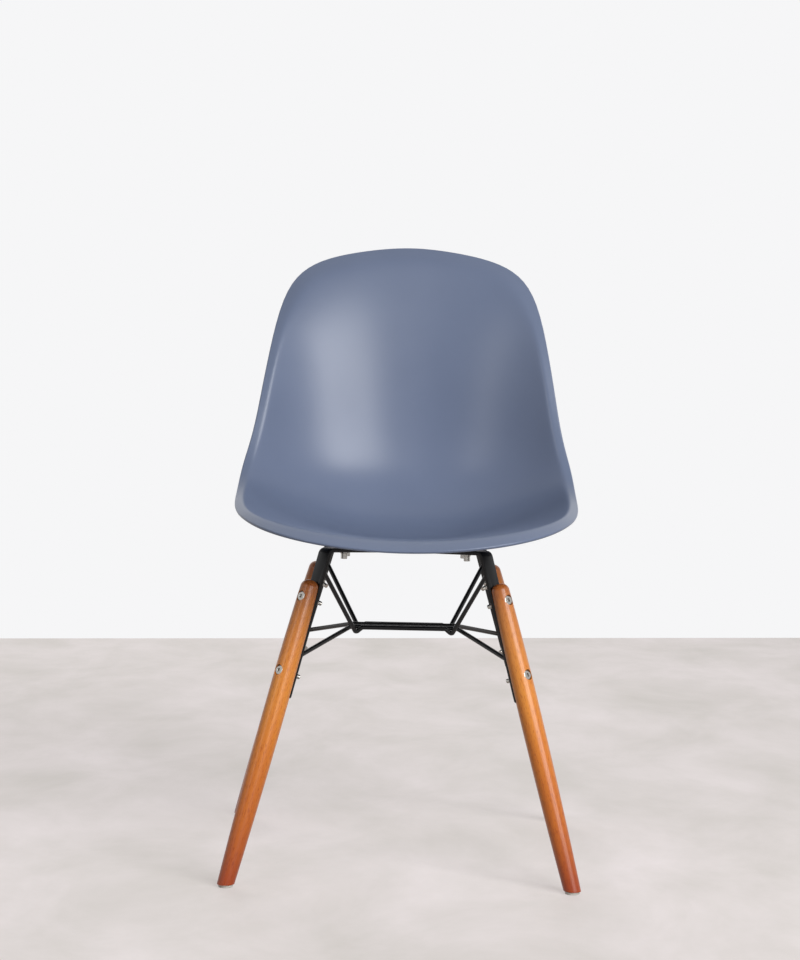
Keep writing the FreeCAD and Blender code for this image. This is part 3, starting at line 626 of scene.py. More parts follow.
# Moulded rubber: near black and matt, with a soft bloom that makes it uneven.
BLOOM_MM = 25 / 3
rubber, tree = new_material("pads_moulded_rubber")
place = add(tree, "ShaderNodeTexCoord")
bloom = add(tree, "ShaderNodeTexNoise", {
    "Vector": place.outputs["Object"], "Scale": 1000 / BLOOM_MM, "Detail": 4})
bloom_ramp = add(tree, "ShaderNodeValToRGB", {"Fac": bloom.outputs["Fac"]})
for stop, colour in zip(bloom_ramp.color_ramp.elements, ("#191919", "#272726")):
    stop.color = linear(colour)
shader = add(
    tree, "ShaderNodeBsdfPrincipled",
    {"Base Color": bloom_ramp.outputs["Color"], "Roughness": 0.75, "IOR": 1.52})
add(tree, "ShaderNodeOutputMaterial", {"Surface": shader})
finish_piece(pads, rubber, "pad_rubber", "spacer_pads")


# Flat bars: 20 x 5 mm mild steel, bent cold and welded where they cross under the seat. One
# runs from front left to rear right, two short ones butt against it. All are powder coated.

BAR_EDGE = 0.0005
FLAT_DEGREES = 0.3
EDGE_DEGREES = 40
SAME_POINT = 1e-6


def coated_copy(name, label):
    """A copy of a rigid CAD node, merged, with the thin round edge that its coating has."""
    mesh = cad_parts[name].data.copy()
    work = bmesh.new()
    work.from_mesh(mesh)
    bmesh.ops.remove_doubles(work, verts=work.verts, dist=SAME_POINT)
    bmesh.ops.dissolve_limit(
        work, angle_limit=math.radians(FLAT_DEGREES), verts=work.verts, edges=work.edges)
    work.to_mesh(mesh)
    work.free()
    mesh.materials.clear()
    piece = put(label, mesh)
    bevel = piece.modifiers.new("edge", "BEVEL")
    bevel.width = BAR_EDGE
    bevel.segments = 2
    bevel.limit_method = "ANGLE"
    bevel.angle_limit = math.radians(EDGE_DEGREES)
    bevel.harden_normals = True
    mesh.shade_smooth()
    return made_plain(piece)


# Satin black powder coat: even black, with the faint ripple that the powder melts to.
RIPPLE_MM = 1.6
DUST_MM = 50 / 3
powder, tree = new_material("steel_black_powder_coat")
place = add(tree, "ShaderNodeTexCoord")
ripple = add(
    tree, "ShaderNodeTexNoise",
    {"Vector": place.outputs["Object"], "Scale": 1000 / RIPPLE_MM, "Detail": 1})
dust = add(tree, "ShaderNodeTexNoise", {
    "Vector": place.outputs["Object"], "Scale": 1000 / DUST_MM, "Detail": 4})
dust_ramp = add(tree, "ShaderNodeValToRGB", {"Fac": dust.outputs["Fac"]})
for stop, colour in zip(dust_ramp.color_ramp.elements, ("#060607", "#0d0d0f")):
    stop.color = linear(colour)
bump = add(
    tree, "ShaderNodeBump", {"Height": ripple.outputs["Fac"], "Strength": 0.25, "Distance": 0.0002})
shader = add(
    tree, "ShaderNodeBsdfPrincipled",
    {"Base Color": dust_ramp.outputs["Color"], "Normal": bump.outputs["Normal"], "Roughness": 0.3,
     "IOR": 1.5, "Specular IOR Level": 0.28})
add(tree, "ShaderNodeOutputMaterial", {"Surface": shader})
for name, label in (
        ("long_bar", "bar_left_to_right"), ("short_bar_front", "bar_front_right"),
        ("short_bar_rear", "bar_rear_left")):
    finish_piece(coated_copy(name, label), powder, "black_steel", name)


# Seat fixings: four hexagon socket screws, each with a flat washer and a split spring washer,
# turned up through the bars and the pads into the inserts. All are zinc plated steel.

def new_tree(name, inputs):
    """A geometry tree with named inputs, and the sockets that those give inside it."""
    tree = bpy.data.node_groups.new(name, "GeometryNodeTree")
    tree.interface.new_socket("Geometry", in_out="INPUT", socket_type="NodeSocketGeometry")
    for label, value in inputs.items():
        kind = "NodeSocketInt" if isinstance(value, int) else "NodeSocketFloat"
        socket = tree.interface.new_socket(label, in_out="INPUT", socket_type=kind)
        socket.default_value = value
    tree.interface.new_socket("Finish", in_out="INPUT", socket_type="NodeSocketMaterial")
    tree.interface.new_socket("Geometry", in_out="OUTPUT", socket_type="NodeSocketGeometry")
    return tree, add(tree, "NodeGroupInput").outputs


def close_tree(tree, sockets, geometry, sharp_degrees=SHARP_DEGREES):
    """End a tree: shade it smooth up to an edge angle, make it real and give it its finish."""
    angle = add(tree, "GeometryNodeInputMeshEdgeAngle")
    crisp = add(
        tree, "FunctionNodeCompare", [angle.outputs["Unsigned Angle"], math.radians(sharp_degrees)],
        data_type="FLOAT", operation="GREATER_THAN")
    real = add(tree, "GeometryNodeRealizeInstances", [geometry])
    smooth_faces = add(
        tree, "GeometryNodeSetShadeSmooth", {0: real, "Shade Smooth": True}, domain="FACE")
    edges = add(
        tree, "GeometryNodeSetShadeSmooth",
        {0: smooth_faces, "Selection": crisp, "Shade Smooth": False}, domain="EDGE")
    finish = add(tree, "GeometryNodeSetMaterial", {0: edges, "Material": sockets["Finish"]})
    add(tree, "NodeGroupOutput", [finish])


def run_tree(piece, tree, values):
    """Run a tree on a piece with its inputs set, and keep the result as a plain mesh."""
    modifier = piece.modifiers.new(tree.name, "NODES")
    modifier.node_group = tree
    for item in tree.interface.items_tree:
        if item.in_out == "INPUT" and item.name in values:
            modifier[item.identifier] = values[item.name]
    return made_plain(piece)


def aimed_points(name, places):
    """A mesh of one point for each place, which keeps the direction of its Z axis."""
    mesh = bpy.data.meshes.new(name)
    mesh.from_pydata([place.translation * MM for place in places], [], [])
    aim = mesh.attributes.new("aim", "FLOAT_VECTOR", "POINT")
    for i, place in enumerate(places):
        aim.data[i].vector = place.to_3x3().col[2]
    return put(name, mesh)


def on_points(tree, sockets, geometry):
    """Instance a geometry on the tree's points, its Z along each point's aim."""
    aim = add(tree, "GeometryNodeInputNamedAttribute", {"Name": "aim"}, data_type="FLOAT_VECTOR")
    turn = add(
        tree, "FunctionNodeAlignRotationToVector", {"Vector": aim.outputs["Attribute"]}, axis="Z")
    return add(
        tree, "GeometryNodeInstanceOnPoints",
        {"Points": sockets["Geometry"], "Instance": geometry, "Rotation": turn})


def cylinder(tree, radius, depth, sides, rings, middle):
    """A closed cylinder along Z with its middle at a height."""
    body = add(tree, "GeometryNodeMeshCylinder", {
        "Radius": radius, "Depth": depth, "Vertices": sides, "Side Segments": rings})
    offset = add(tree, "ShaderNodeCombineXYZ", {"Z": middle})
    return add(tree, "GeometryNodeTransform", {0: body, "Translation": offset})


# The screw: a head with a rounded rim, a hexagon socket with a chamfered mouth, and a thread.
# First the head, with its lower rows drawn in towards the axis by a quarter circle.
ROUND_SIDES = 48
RIM_ROWS = 8
screw_tree, into = new_tree("socket_screw", {
    "Head Radius": 0.0, "Head Height": 0.0, "Rim Round": 0.0, "Shank Radius": 0.0,
    "Shank Length": 0.0, "Thread Pitch": 0.001, "Thread Depth": 0.0, "Thread Rings": 60,
    "Socket Flats": 0.0, "Socket Depth": 0.0})
tree = screw_tree
head_middle = add(tree, MATH, [into["Head Height"], -0.5], operation="MULTIPLY")
head = cylinder(tree, into["Head Radius"], into["Head Height"], ROUND_SIDES, RIM_ROWS, head_middle)
where = add(tree, "GeometryNodeInputPosition")
split = add(tree, "ShaderNodeSeparateXYZ", [where])
drop = add(tree, MATH, [split.outputs["Z"], -1.0], operation="MULTIPLY")
past = add(tree, MATH, [drop, into["Head Height"]], operation="SUBTRACT")
past = add(tree, MATH, [past, into["Rim Round"]], operation="ADD")
share = add(tree, MATH, [past, into["Rim Round"]], operation="DIVIDE")
share = add(tree, MATH, [share, 0.0], operation="MAXIMUM")
square = add(tree, MATH, [share, share], operation="MULTIPLY")
chord = add(tree, MATH, [1.0, square], operation="SUBTRACT")
chord = add(tree, MATH, [chord], operation="SQRT")
drawn = add(tree, MATH, [1.0, chord], operation="SUBTRACT")
rim_share = add(tree, MATH, [into["Rim Round"], into["Head Radius"]], operation="DIVIDE")
drawn = add(tree, MATH, [drawn, rim_share], operation="MULTIPLY")
drawn = add(tree, MATH, [drawn, -1.0], operation="MULTIPLY")
level = add(tree, "ShaderNodeCombineXYZ", [split.outputs["X"], split.outputs["Y"]])
inwards = add(tree, "ShaderNodeVectorMath", {0: level, "Scale": drawn}, operation="SCALE")
head = add(tree, "GeometryNodeSetPosition", {0: head, "Offset": inwards})

# The socket is cut with a hexagon twice its depth, centred on the head's end, and its mouth
# with a cone sized by the hexagon's corners.
HEXAGON = 6
MOUTH_WIDE = 1.3
MOUTH_NARROW = 0.7
MOUTH_SINK = 0.4
MOUTH_SIDES = 32
corner_radius = add(tree, MATH, [into["Socket Flats"], math.sqrt(3)], operation="DIVIDE")
socket_long = add(tree, MATH, [into["Socket Depth"], 2.0], operation="MULTIPLY")
head_end = add(tree, MATH, [into["Head Height"], -1.0], operation="MULTIPLY")
socket = cylinder(tree, corner_radius, socket_long, HEXAGON, 1, head_end)
mouth_bottom = add(tree, MATH, [corner_radius, MOUTH_WIDE], operation="MULTIPLY")
mouth_top = add(tree, MATH, [corner_radius, MOUTH_NARROW], operation="MULTIPLY")
mouth = add(tree, "GeometryNodeMeshCone", {
    "Radius Bottom": mouth_bottom, "Radius Top": mouth_top, "Depth": corner_radius,
    "Vertices": MOUTH_SIDES})
mouth_sink = add(tree, MATH, [corner_radius, MOUTH_SINK], operation="MULTIPLY")
mouth_height = add(tree, MATH, [head_end, mouth_sink], operation="SUBTRACT")
mouth_place = add(tree, "ShaderNodeCombineXYZ", {"Z": mouth_height})
mouth = add(tree, "GeometryNodeTransform", {0: mouth, "Translation": mouth_place})
for cutter in (socket, mouth):
    head = add(
        tree, "GeometryNodeMeshBoolean", {"Mesh 1": head, "Mesh 2": cutter},
        operation="DIFFERENCE", solver="EXACT")

# The shank reaches a little into the head, and a groove runs round it once for each pitch.
ROOT_OVERLAP = 0.0005
SHANK_SIDES = 24
long = add(tree, MATH, [into["Shank Length"], ROOT_OVERLAP], operation="ADD")
shank_middle = add(tree, MATH, [into["Shank Length"], ROOT_OVERLAP], operation="SUBTRACT")
shank_middle = add(tree, MATH, [shank_middle, 0.5], operation="MULTIPLY")
shank = cylinder(tree, into["Shank Radius"], long, SHANK_SIDES, into["Thread Rings"], shank_middle)
around = add(tree, MATH, [split.outputs["Y"], split.outputs["X"]], operation="ARCTAN2")
turns = add(tree, MATH, [around, 2 * math.pi], operation="DIVIDE")
pitches = add(tree, MATH, [split.outputs["Z"], into["Thread Pitch"]], operation="DIVIDE")
turns = add(tree, MATH, [turns, pitches], operation="ADD")
groove = add(tree, MATH, [turns, 0.5], operation="PINGPONG")
groove = add(tree, MATH, [groove, 2.0], operation="MULTIPLY")
deepest = add(tree, MATH, [into["Thread Depth"], -1.0], operation="MULTIPLY")
groove = add(tree, MATH, [groove, deepest], operation="MULTIPLY")
radial = add(tree, "ShaderNodeVectorMath", [level], operation="NORMALIZE")
offset = add(tree, "ShaderNodeVectorMath", {0: radial, "Scale": groove}, operation="SCALE")
shank = add(tree, "GeometryNodeSetPosition", {0: shank, "Offset": offset})
screw = add(tree, "GeometryNodeMeshBoolean", {"Mesh 2": head}, operation="UNION", solver="EXACT")
tree.links.new(shank.outputs[0], screw.inputs["Mesh 2"])
close_tree(tree, into, on_points(tree, into, screw))

# The flat washer: a stamped ring with eased edges. The spring washer: one open turn of flat
# wire, its two ends a little apart in height.
TURN_STEPS = 64
EDGE_STEPS = 3
washer_tree, into = new_tree("washer", {
    "Outer Radius": 0.0, "Inner Radius": 0.0, "Thickness": 0.0, "Edge": 0.0001, "Turn": 1.0,
    "Lift": 0.0})
tree = washer_tree
middle = add(tree, MATH, [into["Outer Radius"], into["Inner Radius"]], operation="ADD")
middle = add(tree, MATH, [middle, 0.5], operation="MULTIPLY")
path = add(tree, "GeometryNodeCurveSpiral", {
    "Rotations": into["Turn"], "Start Radius": middle, "End Radius": middle, "Height": into["Lift"],
    "Resolution": TURN_STEPS})
upright = add(tree, "GeometryNodeSetCurveNormal", [path], mode="Z_UP")
width = add(tree, MATH, [into["Outer Radius"], into["Inner Radius"]], operation="SUBTRACT")
section = add(tree, "GeometryNodeCurvePrimitiveQuadrilateral", {
    "Width": width, "Height": into["Thickness"]})
section = add(
    tree, "GeometryNodeFilletCurve", {0: section, "Radius": into["Edge"], "Count": EDGE_STEPS},
    mode="POLY")
ring_mesh = add(tree, "GeometryNodeCurveToMesh", {0: upright, 1: section, "Fill Caps": True})
half_thick = add(tree, MATH, [into["Thickness"], 0.5], operation="MULTIPLY")
raise_by = add(tree, "ShaderNodeCombineXYZ", {"Z": half_thick})
ring_mesh = add(tree, "GeometryNodeTransform", {0: ring_mesh, "Translation": raise_by})
ring_mesh = add(tree, "GeometryNodeMergeByDistance", {0: ring_mesh, "Distance": 2e-6})
close_tree(tree, into, on_points(tree, into, ring_mesh))

# Bright zinc plate: pale silver metal, smooth enough to mirror lamps, with fine tool marks
# that are drawn coarser than they are.
SCUFF_MM = 10 / 7
zinc, tree = new_material("fasteners_bright_zinc_plate")
place = add(tree, "ShaderNodeTexCoord")
scuff = add(tree, "ShaderNodeTexNoise", {
    "Vector": place.outputs["Object"], "Scale": 1000 / SCUFF_MM, "Detail": 3})
scuff_ramp = add(tree, "ShaderNodeValToRGB", {"Fac": scuff.outputs["Fac"]})
for stop, colour in zip(scuff_ramp.color_ramp.elements, ("#97948e", "#c4c1bb")):
    stop.color = linear(colour)
bump = add(
    tree, "ShaderNodeBump", {"Height": scuff.outputs["Fac"], "Strength": 0.12, "Distance": 0.0001})
shader = add(
    tree, "ShaderNodeBsdfPrincipled",
    {"Base Color": scuff_ramp.outputs["Color"], "Normal": bump.outputs["Normal"], "Metallic": 1.0,
     "Roughness": 0.24})
add(tree, "ShaderNodeOutputMaterial", {"Surface": shader})

WASHER_RADIUS = 6.0
WASHER_THICK = 1.5
WASHER_EDGE = 0.2
SPRING_RADIUS = 4.75
SPRING_THICK = 1.6
SPRING_WIRE = 1.25
SPRING_EDGE = 0.15
SPRING_TURN = 0.96
BOLT_HEAD_RADIUS = 4.25
BOLT_HEAD_HIGH = 6.0
BOLT_RIM_ROUND = 0.6
SHANK_RADIUS = 3.0
BOLT_LONG = 20.0
SOCKET_FLATS = 4.0
SOCKET_DEEP = 2.0
THREAD_PITCH = 1.0
THREAD_DEEP = 0.45
RINGS_PER_TURN = 5

washers = run_tree(
    aimed_points("washers_flat", [mount_frame(c, -WASHER_THICK) for c in CORNERS]), washer_tree,
    {"Outer Radius": WASHER_RADIUS * MM, "Inner Radius": BOLT_SLIP_RADIUS * MM,
     "Thickness": WASHER_THICK * MM, "Edge": WASHER_EDGE * MM, "Turn": 1.0, "Lift": 0.0,
     "Finish": zinc})
finish_piece(washers, zinc, "zinc_steel", "flat_washers")
springs = run_tree(
    aimed_points("washers_spring", [mount_frame(c, -WASHER_THICK - SPRING_THICK) for c in CORNERS]),
    washer_tree,
    {"Outer Radius": SPRING_RADIUS * MM, "Inner Radius": BOLT_SLIP_RADIUS * MM,
     "Thickness": SPRING_WIRE * MM, "Edge": SPRING_EDGE * MM, "Turn": SPRING_TURN,
     "Lift": (SPRING_THICK - SPRING_WIRE) * MM, "Finish": zinc})
finish_piece(springs, zinc, "zinc_steel", "spring_washers")
seat_bolts = run_tree(
    aimed_points("bolts_seat", [mount_frame(c, -WASHER_THICK - SPRING_THICK) for c in CORNERS]),
    screw_tree,
    {"Head Radius": BOLT_HEAD_RADIUS * MM, "Head Height": BOLT_HEAD_HIGH * MM,
     "Rim Round": BOLT_RIM_ROUND * MM, "Shank Radius": SHANK_RADIUS * MM,
     "Shank Length": BOLT_LONG * MM, "Thread Pitch": THREAD_PITCH * MM,
     "Thread Depth": THREAD_DEEP * MM,
     "Thread Rings": int(BOLT_LONG / THREAD_PITCH * RINGS_PER_TURN),
     "Socket Flats": SOCKET_FLATS * MM, "Socket Depth": SOCKET_DEEP * MM, "Finish": zinc})
finish_piece(seat_bolts, zinc, "zinc_steel", "seat_bolts")


# Brace rods: four bent 6 mm rods. A lower and an upper one at each end meet in crossbars under
# the seat, where the upper ones hook down, and all are welded to the bars' inner faces.

ROD_RADIUS = 3.0
ROD_BEND = 8.0
ARC_STEPS = 10
ROD_SIDES = 20
ROD_HOOK_BEND = 3.4
ROD_INTO_BAR = 1.0
CROSS_HEIGHT = 310.2
CROSS_OUTER = 21.0
CROSS_INNER = 14.7
CROSS_HALF = 71.8
HOOK_HALF = {"front": 64.5, "rear": 61.0}
HOOK_DROP = 7.0
HOOK_RUN = 8.5
HOOK_OUT = 1.0
ROD_HIGH = {"front": 397.0, "rear": 385.5}
ROD_LOW = 284.0
SCREW_HEIGHT = 356.0
REACH = {"front": 165.4, "rear": 164.0}
LEAN = {"front": math.radians(19.8), "rear": math.radians(21.8)}


def leg_frame(corner, out=0.0, down=0.0):
    """Frame on the bar's inner face: X outwards, Z up along the leg, from the upper screw."""
    end = corner.split("_")[0]
    away, up = outward(corner), Vector((0, 0, 1))
    normal = away * math.cos(LEAN[end]) + up * math.sin(LEAN[end])
    along = up * math.cos(LEAN[end]) - away * math.sin(LEAN[end])
    origin = Vector((0, BASE_Y, SCREW_HEIGHT)) + away * REACH[end]
    return frame_at(origin + normal * out - along * down, normal, along)


def bar_face_point(corner, height):
    """Middle of a bar's inner face at a height."""
    end = corner.split("_")[0]
    radius = REACH[end] + math.tan(LEAN[end]) * (SCREW_HEIGHT - height)
    return Vector((0, BASE_Y, height)) + outward(corner) * radius


def rod_corners(end, upper):
    """Corner points of a rod and the bend at each."""
    sign = 1 if end == "rear" else -1
    y = BASE_Y + sign * (CROSS_OUTER if upper else CROSS_INNER)
    height = ROD_HIGH[end] if upper else ROD_LOW
    left, right = (bar_face_point("%s_%s" % (end, side), height) for side in ("left", "right"))
    if upper:
        half = HOOK_HALF[end]
        hook_y = y + sign * HOOK_OUT
        low = CROSS_HEIGHT - HOOK_DROP
        inner = [
            Vector((-half, hook_y, low)), Vector((HOOK_RUN - half, y, CROSS_HEIGHT)),
            Vector((half - HOOK_RUN, y, CROSS_HEIGHT)), Vector((half, hook_y, low))]
        bend = ROD_HOOK_BEND
    else:
        inner = [Vector((-CROSS_HALF, y, CROSS_HEIGHT)), Vector((CROSS_HALF, y, CROSS_HEIGHT))]
        bend = ROD_BEND
    left += (left - inner[0]).normalized() * ROD_INTO_BAR
    right += (right - inner[-1]).normalized() * ROD_INTO_BAR
    points = [left] + inner + [right]
    return points, [0.0] + [bend] * len(inner) + [0.0]


# The tree rounds a rod's corners and sweeps its round section along the path.
rod_tree, into = new_tree("bent_rod", {"Rod Radius": 0.003, "Arc Steps": 10})
tree = rod_tree
bend = add(tree, "GeometryNodeInputNamedAttribute", {"Name": "bend"}, data_type="FLOAT")
path = add(tree, "GeometryNodeMeshToCurve", [into["Geometry"]])
path = add(
    tree, "GeometryNodeFilletCurve",
    {0: path, "Count": into["Arc Steps"], "Radius": bend.outputs["Attribute"]}, mode="POLY")
circle = add(tree, "GeometryNodeCurvePrimitiveCircle", {
    "Radius": into["Rod Radius"], "Resolution": ROD_SIDES})
swept = add(tree, "GeometryNodeCurveToMesh", {0: path, 1: circle, "Fill Caps": True})
close_tree(tree, into, swept)

# The tree sets a lumpy ring of weld round each rod where it meets the bar.
WELD_LUMP_MM = 50 / 21
WELD_RING_RADIUS = 3.7
WELD_BEAD_RADIUS = 1.3
WELD_LUMPS = 0.9
RING_SIDES = 28
BEAD_SIDES = 12
WELD_SHARP_DEGREES = 60
weld_tree, into = new_tree("weld_beads", {
    "Ring Radius": 0.0036, "Bead Radius": 0.0014, "Lumps": 0.0009})
tree = weld_tree
ring_path = add(tree, "GeometryNodeCurvePrimitiveCircle", {
    "Radius": into["Ring Radius"], "Resolution": RING_SIDES})
bead = add(tree, "GeometryNodeCurvePrimitiveCircle", {
    "Radius": into["Bead Radius"], "Resolution": BEAD_SIDES})
bead = add(tree, "GeometryNodeCurveToMesh", [ring_path, bead])
lumps = add(tree, "ShaderNodeTexNoise", {"Scale": 1000 / WELD_LUMP_MM, "Detail": 1})
push = add(tree, MATH, [lumps.outputs["Fac"], 0.5], operation="SUBTRACT")
push = add(tree, MATH, [push, into["Lumps"]], operation="MULTIPLY")
normal = add(tree, "GeometryNodeInputNormal")
offset = add(tree, "ShaderNodeVectorMath", {0: normal, "Scale": push}, operation="SCALE")
bead = add(tree, "GeometryNodeSetPosition", {0: bead, "Offset": offset})
close_tree(tree, into, on_points(tree, into, bead), sharp_degrees=WELD_SHARP_DEGREES)

welds = []
for end in ("front", "rear"):
    for upper in (False, True):
        level = "upper" if upper else "lower"
        points, bends = rod_corners(end, upper)
        mesh = bpy.data.meshes.new("rod_path")
        mesh.from_pydata(
            [p * MM for p in points], [(k, k + 1) for k in range(len(points) - 1)], [])
        radii = mesh.attributes.new("bend", "FLOAT", "POINT")
        for i, radius in enumerate(bends):
            radii.data[i].value = radius * MM
        rod = put("rod_%s_%s" % (end, level), mesh)
        run_tree(rod, rod_tree, {
            "Rod Radius": ROD_RADIUS * MM, "Arc Steps": ARC_STEPS, "Finish": powder})
        finish_piece(rod, powder, "black_steel", "%s_%s_rod" % (end, level))
        height = ROD_HIGH[end] if upper else ROD_LOW
        for side in ("left", "right"):
            corner = "%s_%s" % (end, side)
            face = leg_frame(corner)
            welds.append(frame_at(
                bar_face_point(corner, height), face.to_3x3().col[2], face.to_3x3().col[0]))
weld_beads = run_tree(
    aimed_points("welds", welds), weld_tree,
    {"Ring Radius": WELD_RING_RADIUS * MM, "Bead Radius": WELD_BEAD_RADIUS * MM,
     "Lumps": WELD_LUMPS * MM, "Finish": powder})
finish_piece(weld_beads, powder, "black_steel")


# Legs: four beech dowels, turned to a slight belly and a rounded head, with a flat for the bar,
# two sunk screw holes, a level foot and a clear coat. Each leans out from the crossing.

LEG_FLAT = 7.8
LEG_TOP_RADIUS = 12.2
LEG_BELLY_RADIUS = 14.25
LEG_FOOT_RADIUS = 10.85
LEG_BELLY = 139.0
LEG_HEAD = 24.0
LEG_DOME = 10.0
SCREW_PITCH = 100.0
BAR_TAIL = 31.0
GLIDE_HIGH = 4.0
SCREW_SINK = 5.0
LEG_CUTTER = 60.0
CUT_PAST = 5.0


def leg_drop(end):
    """Distance along the leg's axis from the upper screw down to its level end."""
    axis_height = SCREW_HEIGHT + (BAR_THICK + LEG_FLAT) * math.sin(LEAN[end])
    return (axis_height - GLIDE_HIGH) / math.cos(LEAN[end])


def bow_radius(span, fall):
    """Radius of the arc that falls by an amount over a span from its crown."""
    return (span * span + fall * fall) / (2 * fall)


def surface_radius(down):
    """Leg radius at a distance below the upper screw, above the belly."""
    bow = bow_radius(LEG_BELLY, LEG_BELLY_RADIUS - LEG_TOP_RADIUS)
    return LEG_BELLY_RADIUS - bow + math.sqrt(bow ** 2 - (LEG_BELLY - down) ** 2)


# The tree rolls a grid into the turned form by the rule of its two long arcs and its dome.
# The flat, the level foot and the holes are taken away afterwards.
leg_tree, into = new_tree("turned_leg", {
    "Top": LEG_HEAD * MM, "Foot": -0.4, "Belly Height": -LEG_BELLY * MM,
    "Belly Radius": LEG_BELLY_RADIUS * MM, "Upper Bow": 4.0, "Lower Bow": 4.0,
    "Dome": LEG_DOME * MM, "Shoulder Radius": 0.012})
tree = leg_tree
LEG_SIDES = 72
LEG_ROWS = 150
INNER_ROWS = 0.4999
grid = add(tree, "GeometryNodeMeshGrid", {
    "Size X": 1.0, "Size Y": 1.0, "Vertices X": LEG_SIDES + 1, "Vertices Y": LEG_ROWS + 1})
where = add(tree, "GeometryNodeInputPosition")
split = add(tree, "ShaderNodeSeparateXYZ", [where])
angle = add(tree, MATH, [split.outputs["X"], 2 * math.pi], operation="MULTIPLY")
share = add(tree, MATH, [split.outputs["Y"], 0.5], operation="ADD")

# Rows lie closer together towards the head.
closer = add(tree, MATH, [share, math.pi / 2], operation="MULTIPLY")
closer = add(tree, MATH, [closer], operation="SINE")
span = add(tree, MATH, [into["Top"], into["Foot"]], operation="SUBTRACT")
height = add(tree, MATH, [closer, span], operation="MULTIPLY")
height = add(tree, MATH, [into["Foot"], height], operation="ADD")

# Above and below the belly the side is an arc of its own bow.
off_belly = add(tree, MATH, [height, into["Belly Height"]], operation="SUBTRACT")
above = add(tree, MATH, [off_belly, 0.0], operation="GREATER_THAN")
below = add(tree, MATH, [1.0, above], operation="SUBTRACT")
upper_part = add(tree, MATH, [above, into["Upper Bow"]], operation="MULTIPLY")
lower_part = add(tree, MATH, [below, into["Lower Bow"]], operation="MULTIPLY")
bow = add(tree, MATH, [upper_part, lower_part], operation="ADD")
bow_square = add(tree, MATH, [bow, bow], operation="MULTIPLY")
off_square = add(tree, MATH, [off_belly, off_belly], operation="MULTIPLY")
chord = add(tree, MATH, [bow_square, off_square], operation="SUBTRACT")
chord = add(tree, MATH, [chord], operation="SQRT")
radius = add(tree, MATH, [into["Belly Radius"], bow], operation="SUBTRACT")
radius = add(tree, MATH, [radius, chord], operation="ADD")

# Past the shoulder a dome takes over, and below it a whole metre keeps the dome out.
shoulder = add(tree, MATH, [into["Top"], into["Dome"]], operation="SUBTRACT")
past = add(tree, MATH, [height, shoulder], operation="SUBTRACT")
past = add(tree, MATH, [past, 0.0], operation="MAXIMUM")
dome_square = add(tree, MATH, [into["Dome"], into["Dome"]], operation="MULTIPLY")
past_square = add(tree, MATH, [past, past], operation="MULTIPLY")
arc = add(tree, MATH, [dome_square, past_square], operation="SUBTRACT")
arc = add(tree, MATH, [arc, 0.0], operation="MAXIMUM")
arc = add(tree, MATH, [arc], operation="SQRT")
dome_radius = add(tree, MATH, [into["Shoulder Radius"], into["Dome"]], operation="SUBTRACT")
dome_radius = add(tree, MATH, [dome_radius, arc], operation="ADD")
before_dome = add(tree, MATH, [past, 1e-7], operation="LESS_THAN")
dome_radius = add(tree, MATH, [dome_radius, before_dome], operation="ADD")
radius = add(tree, MATH, [radius, dome_radius], operation="MINIMUM")

# The first and the last row close to a point on the axis.
inside = add(tree, MATH, [split.outputs["Y"]], operation="ABSOLUTE")
inside = add(tree, MATH, [inside, INNER_ROWS], operation="LESS_THAN")
radius = add(tree, MATH, [radius, inside], operation="MULTIPLY")
cosine = add(tree, MATH, [angle], operation="COSINE")
sine = add(tree, MATH, [angle], operation="SINE")
across = add(tree, MATH, [radius, cosine], operation="MULTIPLY")
deep = add(tree, MATH, [radius, sine], operation="MULTIPLY")
round_place = add(tree, "ShaderNodeCombineXYZ", [across, deep, height])
rolled = add(tree, "GeometryNodeSetPosition", {0: grid, "Position": round_place})
rolled = add(tree, "GeometryNodeMergeByDistance", {0: rolled, "Distance": SAME_POINT})
close_tree(tree, into, rolled)


def box(low, high, place):
    """Points and faces of a box between two corners."""
    points = [
        place @ Vector((x, y, z)) for x in (low[0], high[0]) for y in (low[1], high[1])
        for z in (low[2], high[2])]
    return points, [
        [0, 1, 3, 2], [4, 6, 7, 5], [0, 4, 5, 1], [2, 3, 7, 6], [0, 2, 6, 4], [1, 5, 7, 3]]


def cut_away(piece, parts):
    """Take closed parts that do not touch each other away from a piece."""
    cutter = mesh_piece("cutter", *joined(parts))
    cut = piece.modifiers.new("cut", "BOOLEAN")
    cut.operation = "DIFFERENCE"
    cut.solver = "EXACT"
    cut.object = cutter
    made_plain(piece)
    bpy.data.objects.remove(cutter)


# Clear-lacquered beech: honey amber, with fine dark ray flecks and faint darker years along the
# leg, all under a thin coat that shows the lamps. Towards the foot and the head the colour is
# painted darker and redder, as shade. The years are drawn about twice as wide as in real beech.
YEAR_MM = 7
YEAR_LONG_MM = 200
FLECK_MM = 1.1
FLECK_LONG_MM = 50 / 7
TONE_FOOT = -0.375
TONE_HEAD = 0.03
beech, tree = new_material("legs_lacquered_beech")
grain = add(tree, "ShaderNodeAttribute", attribute_name="grain_place")
along = add(tree, "ShaderNodeSeparateXYZ", [grain.outputs["Vector"]])
# Painted shade: along the leg the colour is darker and redder towards the foot and the head,
# lightest at the belly.
ends = add(tree, "ShaderNodeMapRange", {
    "Value": along.outputs["Z"], "From Min": TONE_FOOT, "From Max": TONE_HEAD, "To Min": 0.0,
    "To Max": 1.0})
tone = add(tree, "ShaderNodeValToRGB", {"Fac": ends})
stops = tone.color_ramp.elements
stops[0].color = linear("#aa4612")
stops[1].color = linear("#b5642c")
for position, colour in ((0.2, "#cc6f22"), (0.42, "#dc822c"), (0.62, "#e6923a"), (0.88, "#d2843e")):
    stop = stops.new(position)
    stop.color = linear(colour)
years_place = add(tree, "ShaderNodeMapping", {
    "Vector": grain.outputs["Vector"],
    "Scale": (1000 / YEAR_MM, 1000 / YEAR_MM, 1000 / YEAR_LONG_MM)})
years = add(tree, "ShaderNodeTexNoise", {
    "Vector": years_place, "Scale": 1.0, "Detail": 3, "Distortion": 0.4})
